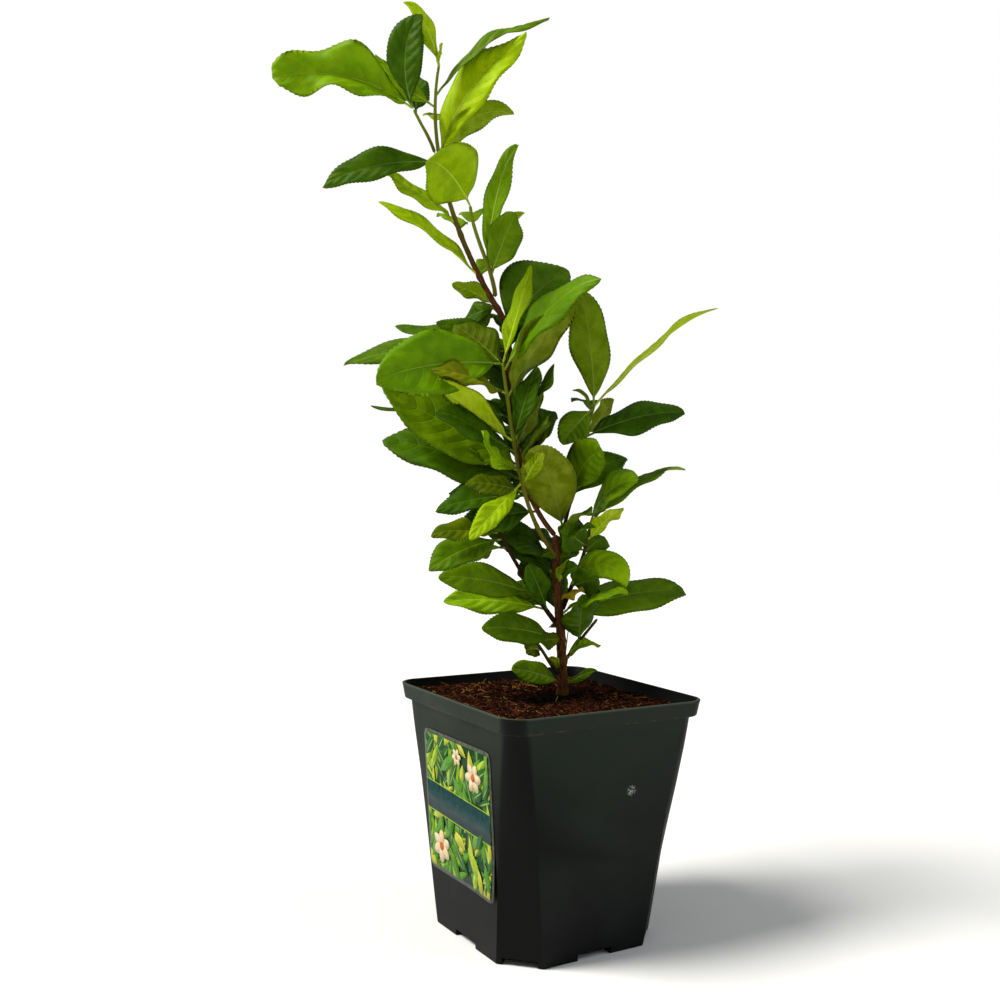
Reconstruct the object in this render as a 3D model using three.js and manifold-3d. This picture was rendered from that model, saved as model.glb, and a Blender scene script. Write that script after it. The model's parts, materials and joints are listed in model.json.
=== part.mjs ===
// A young tea bush in a square nursery pot: pot, compost, label, trunk, boughs and masses of foliage.
// Millimetres, +Z up. The origin is the middle of the pot's underside; the label is on the -X side.
// Headings are degrees in plan from +X towards +Y, and rises are degrees above the horizontal.
import * as THREE from 'three';
import { mergeVertices } from 'three/addons/utils/BufferGeometryUtils.js';
import Module from 'manifold-3d';

const wasm = await Module();
wasm.setup();

// ---------------------------------------------------------------- driving dimensions
const GAP = 0.3; // clearance kept between neighbouring solids

const POT = {
  height: 162,
  rimSide: 154, // outer side at the rim's top edge
  bandSide: 151, // outer side at the rim band's lower edge
  shoulderSide: 144.3, // outer side of the wall just under the band
  footSide: 121, // outer side at the underside
  bandHeight: 10.5,
  wall: 1.4,
  floor: 3,
  rimCorner: 14, // how far a corner is cut back along each side, at the rim
  footCorner: 21.5, // the same at the underside, where the corner is a flat chamfer
};
const WALL_LEVELS = [50, 100]; // heights at which the wall's corners change shape
const NOTCH = { height: 4.5, depth: 9, sideWidth: 26, cornerWidth: 23 };
const CORNER_STEPS = 4; // steps round each corner of the pot's square plan
const PLAN_STEPS = 4 * (CORNER_STEPS + 1);

const COMPOST = { wallTop: 153.2, seatTop: 153.7, seatRadius: 8, heave: 1.6, shrinkage: 0.8 };
const SEAT_SHARE = 0.06; // lathed radius of the trunk's seat, as a share of the surface's reach
const SURFACE_RINGS = [0.7, 0.35, SEAT_SHARE]; // rings of the compost's surface, from the wall inwards
const LABEL = { width: 88, height: 96, thickness: 0.4, y: -0.5, z: 87.5, corner: 5 };

const CORE_RADIUS = 2.4; // the stem inside a mass of foliage
const SLEEVE_WALL = 2.2; // the collar of a mass that wraps a limb
const LEAF_HALF_THICKNESS = 2.8;
const LEAF_FOLD = 12; // degrees that each half rises from the midrib
const LOBE_STEPS = 5; // steps along a lobe's midrib
const MIN_SOLID = 20; // cubic millimetres; smaller offcuts of a cut mass are left out

// Each limb: the points where it starts and ends, the [heading, rise] it sets out and arrives with,
// its radius at both ends, and the share of its length that is bare before foliage takes over.
const LIMBS = {
  trunk: {
    foot: [18, 8, 154], tip: [11, 9, 267], leave: [175, 90], arrive: [170, 90],
    radius: [3.5, 2.9], flare: 1.4, sides: 8, steps: 8, bare: 1, colour: 0x4a2c18,
  },
  leader_lower: {
    foot: [11, 10, 266], tip: [-11, 44, 414], leave: [130, 45], arrive: [165, 85],
    radius: [2.4, 2.6], sides: 6, steps: 8, bare: 1, colour: 0x5a2f18,
  },
  leader_upper: {
    foot: [-11, 44, 414], tip: [-61, 58, 589], leave: [155, 55], arrive: [-45, 80],
    radius: [2.6, 1.1], sides: 6, steps: 8, bare: 0.86, colour: 0x6b3318,
  },
  front_stem: {
    foot: [11, 8, 252], tip: [-28, 21, 384], leave: [-175, 40], arrive: [100, 75],
    radius: [1.5, 1.2], sides: 6, steps: 8, bare: 0.79, colour: 0x7a5a22,
  },
  right_bough: {
    foot: [13, 9, 258], tip: [38, 5, 358], leave: [10, 70], arrive: [-40, 75],
    radius: [1.4, 1.1], sides: 6, steps: 6, bare: 0.65, colour: 0x5a2f18,
  },
  right_low_bough: {
    foot: [17, 9, 214], tip: [38, 7, 275], leave: [-15, 70], arrive: [-70, 85],
    radius: [1.7, 1.1], sides: 6, steps: 5, bare: 0.58, colour: 0x5a2f18,
  },
  left_low_bough: {
    foot: [15, 8, 202], tip: [-31, 19, 271], leave: [160, 50], arrive: [165, 60],
    radius: [1.8, 1.2], sides: 6, steps: 6, bare: 0.76, colour: 0x5a2f18,
  },
  left_foot_twig: {
    foot: [15, 8, 170], tip: [-5, 10, 195], leave: [180, 40], arrive: [175, 45],
    radius: [1.3, 1], sides: 6, steps: 4, bare: 0.5, colour: 0x3b2a14,
  },
  right_foot_twig: {
    foot: [18, 7, 178], tip: [44, 4, 208], leave: [5, 50], arrive: [-15, 50],
    radius: [1.3, 1], sides: 6, steps: 3, bare: 0.4, colour: 0x3b2a14,
  },
  side_shoot: {
    foot: [-19, 47, 432], tip: [-44, 41, 492], leave: [-130, 60], arrive: [-140, 75],
    radius: [1.6, 1.1], sides: 6, steps: 2, bare: 0.22, colour: 0x6f7a1e,
  },
  top_left_twig: {
    foot: [-61, 62, 529], tip: [-79, 60, 556], leave: [-180, 70], arrive: [-180, 60],
    radius: [1.2, 1], sides: 6, steps: 3, bare: 0.6, colour: 0x6b3318,
  },
};

// Each mass of foliage: the limb that carries it, the stretch of that limb it takes, and its leaf lobes.
// A lobe is [place along the limb, heading, rise, length, width, droop, roll about its own midrib].
const FOLIAGE = {
  crown_tip_foliage: {
    limb: 'leader_upper', span: [0.862, 1], colour: 0x9bb800,
    lobes: [[0.94, 110, 60, 70, 17, 0, 85], [0.9, -30, 35, 96, 14, 40, 35], [0.96, 60, 50, 46, 20, 30, 10]],
  },
  top_left_foliage: {
    limb: 'top_left_twig', span: [0.61, 1], colour: 0x7f9c08,
    lobes: [[0.94, 160, 10, 98, 33, 25, -75], [0.86, -175, 10, 60, 28, 15, -80], [0.94, 0, 85, 72, 30, 10, 35],
      [0.9, 90, 25, 58, 22, 10, -60]],
  },
  upper_right_foliage: {
    limb: 'leader_upper', span: [0.6, 0.675], colour: 0x93b200,
    lobes: [[0.66, -55, 50, 98, 32, 10, -20], [0.63, -30, 40, 72, 24, 85, -20], [0.62, 60, 35, 60, 24, 40, 5]],
  },
  upper_left_foliage: {
    limb: 'leader_upper', span: [0.685, 0.73], colour: 0x2f5c10,
    lobes: [[0.7, 150, -15, 84, 29, 30, -55]],
  },
  middle_left_foliage: {
    limb: 'leader_upper', span: [0.35, 0.4], colour: 0x8fa80c,
    lobes: [[0.375, 150, 35, 60, 22, 15, 20], [0.38, 75, 30, 62, 24, 30, 0]],
  },
  slender_left_foliage: {
    limb: 'leader_upper', span: [0.16, 0.23], colour: 0x93ac10,
    lobes: [[0.2, 165, 35, 86, 18, 10, 5], [0.21, 40, 35, 64, 24, 30, 0]],
  },
  leader_knee_foliage: {
    limb: 'leader_upper', span: [0.04, 0.13], colour: 0x3f7010,
    lobes: [[0.11, 135, 25, 34, 12, 20, 25], [0.07, 105, -15, 44, 26, 20, -75]],
  },
  side_shoot_foliage: {
    limb: 'side_shoot', span: [0.226, 0.5], colour: 0x64880a,
    lobes: [[0.28, -105, 50, 54, 28, 20, 105], [0.3, 20, 60, 62, 14, 0, -75], [0.42, 25, 70, 96, 18, 10, -15]],
  },
  broad_front_foliage: {
    limb: 'side_shoot', span: [0.506, 1], colour: 0x93b800,
    lobes: [[0.92, -145, 15, 74, 42, 55, -140], [0.8, 60, 60, 46, 18, 20, 0]],
  },
  arching_back_foliage: {
    limb: 'leader_lower', span: [0.93, 0.975], colour: 0x2c5206,
    lobes: [[0.95, 5, 40, 80, 46, 40, 60], [0.96, 60, 20, 70, 30, 40, 10]],
  },
  far_left_foliage: {
    limb: 'leader_lower', span: [0.85, 0.92], colour: 0x3c6a0a,
    lobes: [[0.87, 150, -10, 116, 22, 30, -25], [0.9, 135, 10, 84, 26, 0, -30]],
  },
  back_foliage: {
    limb: 'leader_lower', span: [0.6, 0.8], colour: 0x2f5c10,
    lobes: [[0.76, 75, 15, 78, 32, 30, 10], [0.7, 30, 20, 72, 30, 30, -10], [0.62, 100, 5, 76, 32, 30, 10]],
  },
  left_middle_foliage: {
    limb: 'leader_lower', span: [0.4, 0.56], colour: 0x44700c,
    lobes: [[0.47, 155, 20, 102, 44, 20, -55], [0.54, 150, 10, 106, 14, 20, -10], [0.43, 10, 35, 52, 24, 20, 25]],
  },
  left_lower_foliage: {
    limb: 'leader_lower', span: [0.26, 0.36], colour: 0x305a0c,
    lobes: [[0.3, 150, 15, 100, 42, 20, -45], [0.27, 125, 15, 74, 36, 20, -40], [0.34, 45, 10, 68, 30, 30, 5]],
  },
  left_hem_foliage: {
    limb: 'leader_lower', span: [0.18, 0.25], colour: 0x2f560c,
    lobes: [[0.21, 175, -10, 72, 30, 20, -35], [0.23, 130, 0, 60, 28, 20, -40]],
  },
  front_top_foliage: {
    limb: 'front_stem', span: [0.793, 0.92], colour: 0x5c8c10,
    lobes: [[0.9, -65, 40, 92, 32, 30, 60], [0.82, -30, 65, 78, 30, 20, -35]],
  },
  broad_left_foliage: {
    limb: 'front_stem', span: [0.923, 1], colour: 0x5a8c04,
    lobes: [[0.96, 175, -10, 94, 46, 25, -75], [0.95, -25, 75, 72, 14, 0, 35]],
  },
  front_left_foliage: {
    limb: 'front_stem', span: [0.6, 0.66], colour: 0x9aae08,
    lobes: [[0.63, 170, 30, 72, 24, 0, 20], [0.62, 5, 60, 64, 14, 0, -10]],
  },
  front_middle_foliage: {
    limb: 'front_stem', span: [0.36, 0.52], colour: 0x63820e,
    lobes: [[0.4, -125, 50, 58, 34, 20, -150], [0.38, 180, 10, 44, 20, 20, -45], [0.49, 180, 30, 40, 16, 60, 25]],
  },
  front_lower_foliage: {
    limb: 'front_stem', span: [0.18, 0.32], colour: 0x93a80c,
    lobes: [[0.22, -140, 60, 60, 18, 20, -35], [0.3, 170, -10, 36, 14, 10, -25]],
  },
  right_front_foliage: {
    limb: 'right_bough', span: [0.12, 0.2], colour: 0x55700a,
    lobes: [[0.15, -145, 50, 74, 36, 30, 30]],
  },
  right_middle_foliage: {
    limb: 'right_bough', span: [0.24, 0.36], colour: 0x3f6c0c,
    lobes: [[0.29, -95, 35, 58, 34, 60, 115], [0.27, 10, 30, 70, 32, 40, 35], [0.34, 60, 25, 60, 26, 30, 0]],
  },
  right_bough_foliage: {
    limb: 'right_bough', span: [0.654, 0.86], colour: 0x3c680a,
    lobes: [[0.76, -15, 15, 78, 28, 25, 45], [0.7, -115, 50, 44, 22, 20, 150], [0.8, 10, 45, 40, 18, 0, -80]],
  },
  right_top_foliage: {
    limb: 'right_bough', span: [0.864, 1], colour: 0x5f7c08,
    lobes: [[0.95, 180, 70, 80, 30, 20, 30], [0.97, -30, 40, 110, 15, 15, -15], [0.94, 70, 40, 52, 22, 30, 0]],
  },
  right_low_foliage: {
    limb: 'right_low_bough', span: [0.586, 1], colour: 0x66840c,
    lobes: [[0.95, -85, 35, 58, 24, 10, 80], [0.94, -5, 25, 96, 18, 30, 5], [0.74, -160, 25, 28, 20, 10, -100]],
  },
  hanging_right_foliage: {
    limb: 'right_low_bough', span: [0.16, 0.34], colour: 0x6c9a08,
    lobes: [[0.28, -85, 5, 52, 28, 110, 55], [0.2, 10, 20, 32, 22, 20, 30]],
  },
  low_right_foliage: {
    limb: 'trunk', span: [0.44, 0.53], colour: 0x3a680a,
    lobes: [[0.46, -10, 10, 100, 32, 30, 35], [0.5, -60, 20, 54, 15, 40, 25], [0.5, 70, 15, 62, 26, 30, 0]],
  },
  low_left_foliage: {
    limb: 'trunk', span: [0.31, 0.38], colour: 0x35600c,
    lobes: [[0.35, 175, 10, 60, 26, 20, -50]],
  },
  inner_left_foliage: {
    limb: 'trunk', span: [0.58, 0.76], colour: 0x2a4c08,
    lobes: [[0.73, 110, 35, 66, 22, 10, -10], [0.6, 105, 35, 44, 22, 10, -15]],
  },
  foot_foliage: {
    limb: 'trunk', span: [0.06, 0.12], colour: 0x3f680e,
    lobes: [[0.09, 175, 20, 40, 20, 20, -60], [0.08, -55, 35, 30, 10, 20, 30]],
  },
  right_foot_foliage: {
    limb: 'right_foot_twig', span: [0.409, 1], colour: 0x26460a,
    lobes: [[0.5, 20, 55, 40, 24, 10, -100], [0.9, 45, 35, 30, 14, 30, 0]],
  },
  left_foot_foliage: {
    limb: 'left_foot_twig', span: [0.512, 1], colour: 0x4a7412,
    lobes: [[0.6, -135, 50, 32, 16, 10, -15], [0.8, 95, 10, 24, 12, 20, 60]],
  },
  left_bough_foliage: {
    limb: 'left_low_bough', span: [0.765, 1], colour: 0x4f740c,
    lobes: [[0.96, -175, 5, 54, 20, 10, -40], [0.9, 180, -20, 60, 28, 30, -35], [0.82, 120, -20, 38, 18, 30, 10]],
  },
  low_left_front_foliage: {
    limb: 'left_low_bough', span: [0.14, 0.34], colour: 0x47700e,
    lobes: [[0.3, 170, 10, 72, 30, 30, -55], [0.23, 125, 0, 76, 26, 20, 40], [0.18, -150, 55, 48, 26, 10, -115]],
  },
};

// ---------------------------------------------------------------- solids and their joining
const degrees = THREE.MathUtils.degToRad;
const lerp = THREE.MathUtils.lerp;

/** A three.js shape with every vertex moved by place(vertex), welded to position and index only. */
function reshaped(geometry, place) {
  const position = geometry.attributes.position;
  const vertex = new THREE.Vector3();
  for (let i = 0; i < position.count; i += 1) {
    const moved = place(vertex.fromBufferAttribute(position, i));
    position.setXYZ(i, moved.x, moved.y, moved.z);
  }
  geometry.deleteAttribute('normal');
  geometry.deleteAttribute('uv');
  return mergeVertices(geometry, 1e-4);
}

function solidOf(geometry) {
  const index = geometry.index.array;
  const kept = [];
  for (let i = 0; i < index.length; i += 3) {
    const [a, b, c] = [index[i], index[i + 1], index[i + 2]];
    if (a !== b && b !== c && a !== c) kept.push(a, b, c);
  }
  const vertProperties = new Float32Array(geometry.attributes.position.array);
  return new wasm.Manifold(new wasm.Mesh({ numProp: 3, vertProperties, triVerts: new Uint32Array(kept) }));
}

function geometryOf(solid) {
  const mesh = solid.getMesh();
  const geometry = new THREE.BufferGeometry();
  geometry.setAttribute('position', new THREE.BufferAttribute(new Float32Array(mesh.vertProperties), 3));
  geometry.setIndex([...mesh.triVerts]);
  geometry.computeVertexNormals();
  return geometry;
}

/** The largest separate body of a solid that a cut may have left in several. */
function largestBody(solid) {
  const bodies = solid.decompose().filter((body) => body.volume() > MIN_SOLID);
  return bodies.reduce((best, body) => (body.volume() > best.volume() ? body : best));
}

const joined = (solids) => solids.reduce((sum, solid) => sum.add(solid));

function pieceMesh(name, geometry, colour, roughness = 0.6) {
  const material = new THREE.MeshStandardMaterial({ color: colour, roughness, metalness: 0 });
  const mesh = new THREE.Mesh(geometry, material);
  mesh.name = name;
  return mesh;
}

// ---------------------------------------------------------------- pot
/** Point number `step` of a square's outline, its corners cut back by `cut`: flat at roundness 0, round at 1. */
function squareOutline(step, side, cut, roundness) {
  const quarter = Math.floor(step / (CORNER_STEPS + 1)) % 4;
  const along = (step % (CORNER_STEPS + 1)) / CORNER_STEPS;
  const half = side / 2;
  const chord = new THREE.Vector2(half - cut * along, half - cut * (1 - along));
  const turn = (along * Math.PI) / 2;
  const arc = new THREE.Vector2(half - cut + cut * Math.cos(turn), half - cut + cut * Math.sin(turn));
  return chord.lerp(arc, roundness).rotateAround(new THREE.Vector2(), (quarter * Math.PI) / 2);
}

/** The share of the wall's height at z: 0 at the underside and 1 under the rim band. */
const wallShare = (z) => THREE.MathUtils.clamp(z / (POT.height - POT.bandHeight), 0, 1);
const cornerCut = (z) => lerp(POT.footCorner, POT.rimCorner, wallShare(z));
const cornerRoundness = (z) => THREE.MathUtils.smoothstep(wallShare(z), 0.25, 1);
const wallSide = (z) => lerp(POT.footSide, POT.shoulderSide, wallShare(z));

/** The number of the plan step at which a lathed vertex stands. */
const lathedStep = (x, z) => Math.round((Math.atan2(x, z) / (2 * Math.PI)) * PLAN_STEPS + PLAN_STEPS) % PLAN_STEPS;

/** A lathed profile of [side, z] points pushed out from a circle to the pot's square plan. */
function squareTurned(profile) {
  const points = profile.map(([side, z]) => new THREE.Vector2(side / 2, z));
  const lathe = new THREE.LatheGeometry(points, PLAN_STEPS);
  return reshaped(lathe, ({ x, y, z }) => {
    const radius = Math.hypot(x, z);
    if (radius < 1e-6) return new THREE.Vector3(0, 0, y);
    const spot = squareOutline(lathedStep(x, z), 2 * radius, cornerCut(y), cornerRoundness(y));
    return new THREE.Vector3(spot.x, spot.y, y);
  });
}

function potShell() {
  const { height, bandHeight, rimSide, bandSide, shoulderSide, footSide, wall, floor } = POT;
  const shoulder = height - bandHeight;
  const lip = 1.2;
  const [low, high] = WALL_LEVELS;
  const profile = [
    [0, 0], [footSide, 0], [wallSide(low), low], [wallSide(high), high],
    [shoulderSide, shoulder],
    [bandSide, shoulder + 0.8], [rimSide - 1, height - lip], [rimSide, height - lip / 2],
    [rimSide - 0.8, height], [rimSide - 2 * wall, height], [bandSide - 2 * wall, shoulder + 2.5],
    [shoulderSide - 2 * wall, shoulder - 1],
    [wallSide(high) - 2 * wall, high], [wallSide(low) - 2 * wall, low], [wallSide(floor) - 2 * wall, floor],
    [0, floor],
  ];
  return solidOf(squareTurned(profile));
}

/** The drainage notches round the foot: one under each side and a wider one through each corner. */
function drainageNotches() {
  const notches = [];
  for (let quarter = 0; quarter < 4; quarter += 1) {
    const side = new THREE.BoxGeometry(NOTCH.depth * 2, NOTCH.sideWidth, NOTCH.height * 2);
    side.translate(POT.footSide / 2, 0, 0);
    const corner = new THREE.BoxGeometry(NOTCH.depth * 2, NOTCH.cornerWidth, NOTCH.height * 2);
    corner.translate(((POT.footSide - POT.footCorner) / 2) * Math.SQRT2, 0, 0);
    corner.rotateZ(Math.PI / 4);
    for (const box of [side, corner]) {
      box.rotateZ((quarter * Math.PI) / 2);
      notches.push(solidOf(reshaped(box, (v) => v)));
    }
  }
  return joined(notches);
}

function pot() {
  return pieceMesh('pot', geometryOf(potShell().subtract(drainageNotches())), 0x20292a, 0.5);
}

// ---------------------------------------------------------------- compost
/** Compost height: level at the wall, gently heaved, and flat on the seat round the trunk. */
function compostHeight(x, y, share) {
  const heave = Math.sin(x * 0.11 + 1.3) * Math.cos(y * 0.13 - 0.4) + 0.6 * Math.sin(x * 0.29 - y * 0.23);
  return lerp(COMPOST.seatTop, COMPOST.wallTop, share) + COMPOST.heave * heave * Math.sin(share * Math.PI);
}

function compost() {
  const { wallTop: top, seatTop, seatRadius, shrinkage } = COMPOST;
  const [low, high] = WALL_LEVELS;
  const base = POT.floor + GAP;
  const inset = (z) => wallSide(z) - 2 * (POT.wall + shrinkage);
  const reach = inset(top) / 2;
  const body = [base, low, high, top].map((z) => new THREE.Vector2(inset(z) / 2, z));
  // On the surface the lathe's radius carries a ring's share of the way from the trunk's seat to the wall.
  const rings = SURFACE_RINGS.map((share) => new THREE.Vector2(reach * share, top + 1));
  const profile = [new THREE.Vector2(0, base), ...body, ...rings, new THREE.Vector2(0, top + 1)];
  const seat = new THREE.Vector2(LIMBS.trunk.foot[0], LIMBS.trunk.foot[1]);
  const solid = reshaped(new THREE.LatheGeometry(profile, PLAN_STEPS), ({ x, y, z }) => {
    const radius = Math.hypot(x, z);
    const isSurface = y > top;
    if (radius < 1e-6) return isSurface ? new THREE.Vector3(seat.x, seat.y, seatTop) : new THREE.Vector3(0, 0, y);
    if (!isSurface) {
      const spot = squareOutline(lathedStep(x, z), 2 * radius, cornerCut(y), cornerRoundness(y));
      return new THREE.Vector3(spot.x, spot.y, y);
    }
    const share = (radius / reach - SEAT_SHARE) / (1 - SEAT_SHARE);
    const wallSpot = squareOutline(lathedStep(x, z), inset(top), cornerCut(top), cornerRoundness(top));
    const spot = wallSpot.clone().setLength(seatRadius).add(seat).lerp(wallSpot, share);
    return new THREE.Vector3(spot.x, spot.y, compostHeight(spot.x, spot.y, share));
  });
  return pieceMesh('compost', solid, 0x3a2012, 0.95);
}

// ---------------------------------------------------------------- label
function label() {
  const { width, height, thickness, corner } = LABEL;
  const sheet = new THREE.Shape();
  sheet.moveTo(-width / 2 + corner, -height / 2);
  sheet.lineTo(width / 2 - corner, -height / 2);
  sheet.absarc(width / 2 - corner, -height / 2 + corner, corner, -Math.PI / 2, 0);
  sheet.lineTo(width / 2, height / 2 - corner);
  sheet.absarc(width / 2 - corner, height / 2 - corner, corner, 0, Math.PI / 2);
  sheet.lineTo(-width / 2 + corner, height / 2);
  sheet.absarc(-width / 2 + corner, height / 2 - corner, corner, Math.PI / 2, Math.PI);
  sheet.lineTo(-width / 2, -height / 2 + corner);
  sheet.absarc(-width / 2 + corner, -height / 2 + corner, corner, Math.PI, 1.5 * Math.PI);
  const options = { depth: thickness, bevelEnabled: false, curveSegments: 2 };
  const geometry = new THREE.ExtrudeGeometry(sheet, options);
  const mesh = pieceMesh('label', reshaped(geometry, (v) => v), 0x5f8a2c, 0.3);
  // The wall leans out by this angle, and the label's face looks along -X and a little down.
  const lean = Math.atan2((POT.shoulderSide - POT.footSide) / 2, POT.height - POT.bandHeight);
  const wallX = -wallSide(LABEL.z) / 2;
  const upright = new THREE.Matrix4().makeBasis(
    new THREE.Vector3(0, -1, 0),
    new THREE.Vector3(-Math.sin(lean), 0, Math.cos(lean)),
    new THREE.Vector3(-Math.cos(lean), 0, -Math.sin(lean)),
  );
  mesh.quaternion.setFromRotationMatrix(upright);
  mesh.position.set(wallX - GAP / Math.cos(lean), LABEL.y, LABEL.z);
  return mesh;
}

// ---------------------------------------------------------------- limbs
function direction([heading, rise]) {
  const flat = Math.cos(degrees(rise));
  const turn = degrees(heading);
  return new THREE.Vector3(flat * Math.cos(turn), flat * Math.sin(turn), Math.sin(degrees(rise)));
}

function limbCurve({ foot, tip, leave, arrive }) {
  const start = new THREE.Vector3(...foot);
  const end = new THREE.Vector3(...tip);
  const reach = start.distanceTo(end) / 3;
  const first = start.clone().addScaledVector(direction(leave), reach);
  const second = end.clone().addScaledVector(direction(arrive), -reach);
  return new THREE.CubicBezierCurve3(start, first, second, end);
}

/** A round bar that follows a curve from share `from` to share `to`, with radiusAt(share) along it. */
function barAlong(curve, from, to, radiusAt, sides, steps) {
  const bar = new THREE.CylinderGeometry(1, 1, 1, sides, steps);
  return solidOf(reshaped(bar, ({ x, y, z }) => {
    const share = lerp(from, to, y + 0.5);
    const ahead = curve.getTangent(share);
    const across = new THREE.Vector3(0, 1, 0).cross(ahead).normalize();
    const up = ahead.clone().cross(across);
    const radius = radiusAt(share);
    return curve.getPoint(share).addScaledVector(across, z * radius).addScaledVector(up, x * radius);
  }));
}

function limbRadius(limb, share) {
  const flare = limb.flare ? limb.flare * Math.exp(-share * 12) : 0;
  return lerp(limb.radius[0], limb.radius[1], share) + flare;
}

function limbSolid(limb, grow = 0) {
  const radiusAt = (share) => limbRadius(limb, share) + grow;
  return barAlong(limbCurve(limb), 0, limb.bare, radiusAt, limb.sides, limb.steps);
}

// ---------------------------------------------------------------- foliage
/** The frames along a lobe's midrib: its place, the way across the blade and the way out of its upper face. */
function midribFrames(root, [, heading, rise, length, , droop, roll], steps) {
  const frames = [];
  const place = root.clone();
  for (let i = 0; i <= steps; i += 1) {
    const share = i / steps;
    const ahead = direction([heading, rise - droop * (share - 0.5)]);
    const across = new THREE.Vector3(Math.sin(degrees(heading)), -Math.cos(degrees(heading)), 0);
    const upper = across.clone().cross(ahead);
    across.applyAxisAngle(ahead, degrees(roll));
    upper.applyAxisAngle(ahead, degrees(roll));
    frames.push({ place: place.clone(), across, upper });
    place.addScaledVector(ahead, length / steps);
  }
  return frames;
}

/** A leaf-shaped lobe: widest past its middle, folded a little along the midrib, with a wavering edge. */
function lobeSolid(root, lobe, grow) {
  const frames = midribFrames(root, lobe, LOBE_STEPS);
  const [, heading, , length, width] = lobe;
  const ball = new THREE.SphereGeometry(1, 4, LOBE_STEPS);
  const geometry = reshaped(ball, ({ x, y, z }) => {
    const polar = Math.acos(THREE.MathUtils.clamp(y, -1, 1));
    const share = polar / Math.PI;
    const frame = frames[Math.round(share * LOBE_STEPS)];
    const ring = Math.hypot(x, z);
    if (ring < 1e-6) return frame.place.clone();
    const fullness = Math.sin(Math.PI * share ** 0.9) ** 0.8;
    const waver = 1 + 0.07 * Math.sin(length * share * 0.35 + heading);
    const half = (width / 2) * fullness * waver + grow;
    const across = (x / ring) * half;
    const thick = LEAF_HALF_THICKNESS * fullness ** 0.6 + grow;
    const up = -(z / ring) * thick + Math.abs(across) * Math.tan(degrees(LEAF_FOLD));
    return frame.place.clone().addScaledVector(frame.across, across).addScaledVector(frame.upper, up);
  });
  return solidOf(geometry);
}

/** A mass's stem: a core that carries on from its limb, or a collar where the limb runs on through it. */
function coreSolid({ limb: limbName, span }, grow = 0) {
  const limb = LIMBS[limbName];
  const isCollar = span[1] <= limb.bare;
  const radiusAt = (share) => (isCollar ? limbRadius(limb, share) + SLEEVE_WALL : CORE_RADIUS) + grow;
  return barAlong(limbCurve(limb), span[0], span[1], radiusAt, 5, isCollar ? 1 : 2);
}

function massSolid(mass, grow = 0) {
  const curve = limbCurve(LIMBS[mass.limb]);
  const lobes = mass.lobes.map((lobe) => lobeSolid(curve.getPoint(lobe[0]), lobe, grow));
  return joined([coreSolid(mass, grow), ...lobes]);
}

// ---------------------------------------------------------------- assembly
/** A solid cut clear of every cutter that it reaches. */
function clearOf(solid, cutters) {
  const reached = cutters.filter((cutter) => !cutter.intersect(solid).isEmpty());
  return largestBody(reached.length ? solid.subtract(joined(reached)) : solid);
}

const bush = new THREE.Group();
bush.add(pot(), compost(), label());

// Each limb is cut clear of the ones before it, and each mass of every limb, every other mass's stem
// and the masses before it.
const cutters = [];
for (const [name, limb] of Object.entries(LIMBS)) {
  bush.add(pieceMesh(name, geometryOf(clearOf(limbSolid(limb), cutters)), limb.colour));
  cutters.push(limbSolid(limb, GAP));
}
const masses = Object.entries(FOLIAGE);
const stems = masses.map(([, mass]) => coreSolid(mass, GAP));
masses.forEach(([name, mass], i) => {
  const otherStems = stems.filter((_, j) => j !== i);
  const solid = clearOf(massSolid(mass), [...cutters, ...otherStems]);
  bush.add(pieceMesh(name, geometryOf(solid), mass.colour));
  cutters.push(massSolid(mass, GAP));
});

export default bush;
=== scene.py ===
"""A young tea bush in a square nursery pot: bark, leaves, compost, pot and label, in metres, +Z up."""

import json
import logging
import math
import random
from collections.abc import Iterable, Iterator
from dataclasses import dataclass, field, replace
from enum import Enum
from itertools import count, pairwise

import bmesh
import bpy
from mathutils import Matrix, Quaternion, Vector, noise

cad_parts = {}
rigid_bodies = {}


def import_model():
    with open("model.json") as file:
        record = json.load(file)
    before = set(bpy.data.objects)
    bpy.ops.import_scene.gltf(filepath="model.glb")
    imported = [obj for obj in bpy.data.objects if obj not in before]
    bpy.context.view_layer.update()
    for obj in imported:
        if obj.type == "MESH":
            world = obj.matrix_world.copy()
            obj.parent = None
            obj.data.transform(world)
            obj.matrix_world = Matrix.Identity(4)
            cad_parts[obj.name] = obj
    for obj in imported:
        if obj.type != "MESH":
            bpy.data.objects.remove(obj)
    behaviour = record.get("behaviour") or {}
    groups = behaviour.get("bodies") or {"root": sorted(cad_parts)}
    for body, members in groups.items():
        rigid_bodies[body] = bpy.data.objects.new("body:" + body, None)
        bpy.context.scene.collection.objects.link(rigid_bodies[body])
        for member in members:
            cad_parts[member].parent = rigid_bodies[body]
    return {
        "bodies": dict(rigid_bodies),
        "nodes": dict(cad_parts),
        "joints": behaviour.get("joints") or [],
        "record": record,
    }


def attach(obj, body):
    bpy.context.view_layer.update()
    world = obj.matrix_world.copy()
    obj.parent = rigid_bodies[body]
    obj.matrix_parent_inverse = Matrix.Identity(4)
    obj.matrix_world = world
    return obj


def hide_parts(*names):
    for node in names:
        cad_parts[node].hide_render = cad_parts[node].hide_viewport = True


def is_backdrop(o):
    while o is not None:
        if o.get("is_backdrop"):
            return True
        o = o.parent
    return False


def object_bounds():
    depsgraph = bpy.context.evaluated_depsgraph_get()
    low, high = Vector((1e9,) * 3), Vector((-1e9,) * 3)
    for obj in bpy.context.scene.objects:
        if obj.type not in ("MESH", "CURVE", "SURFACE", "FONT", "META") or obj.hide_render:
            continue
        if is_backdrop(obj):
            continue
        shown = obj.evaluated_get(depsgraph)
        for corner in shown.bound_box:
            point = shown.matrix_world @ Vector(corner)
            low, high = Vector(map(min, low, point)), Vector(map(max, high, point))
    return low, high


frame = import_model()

log = logging.getLogger("tea_bush")
MM = 0.001
GOLDEN_ANGLE = 137.5
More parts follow.
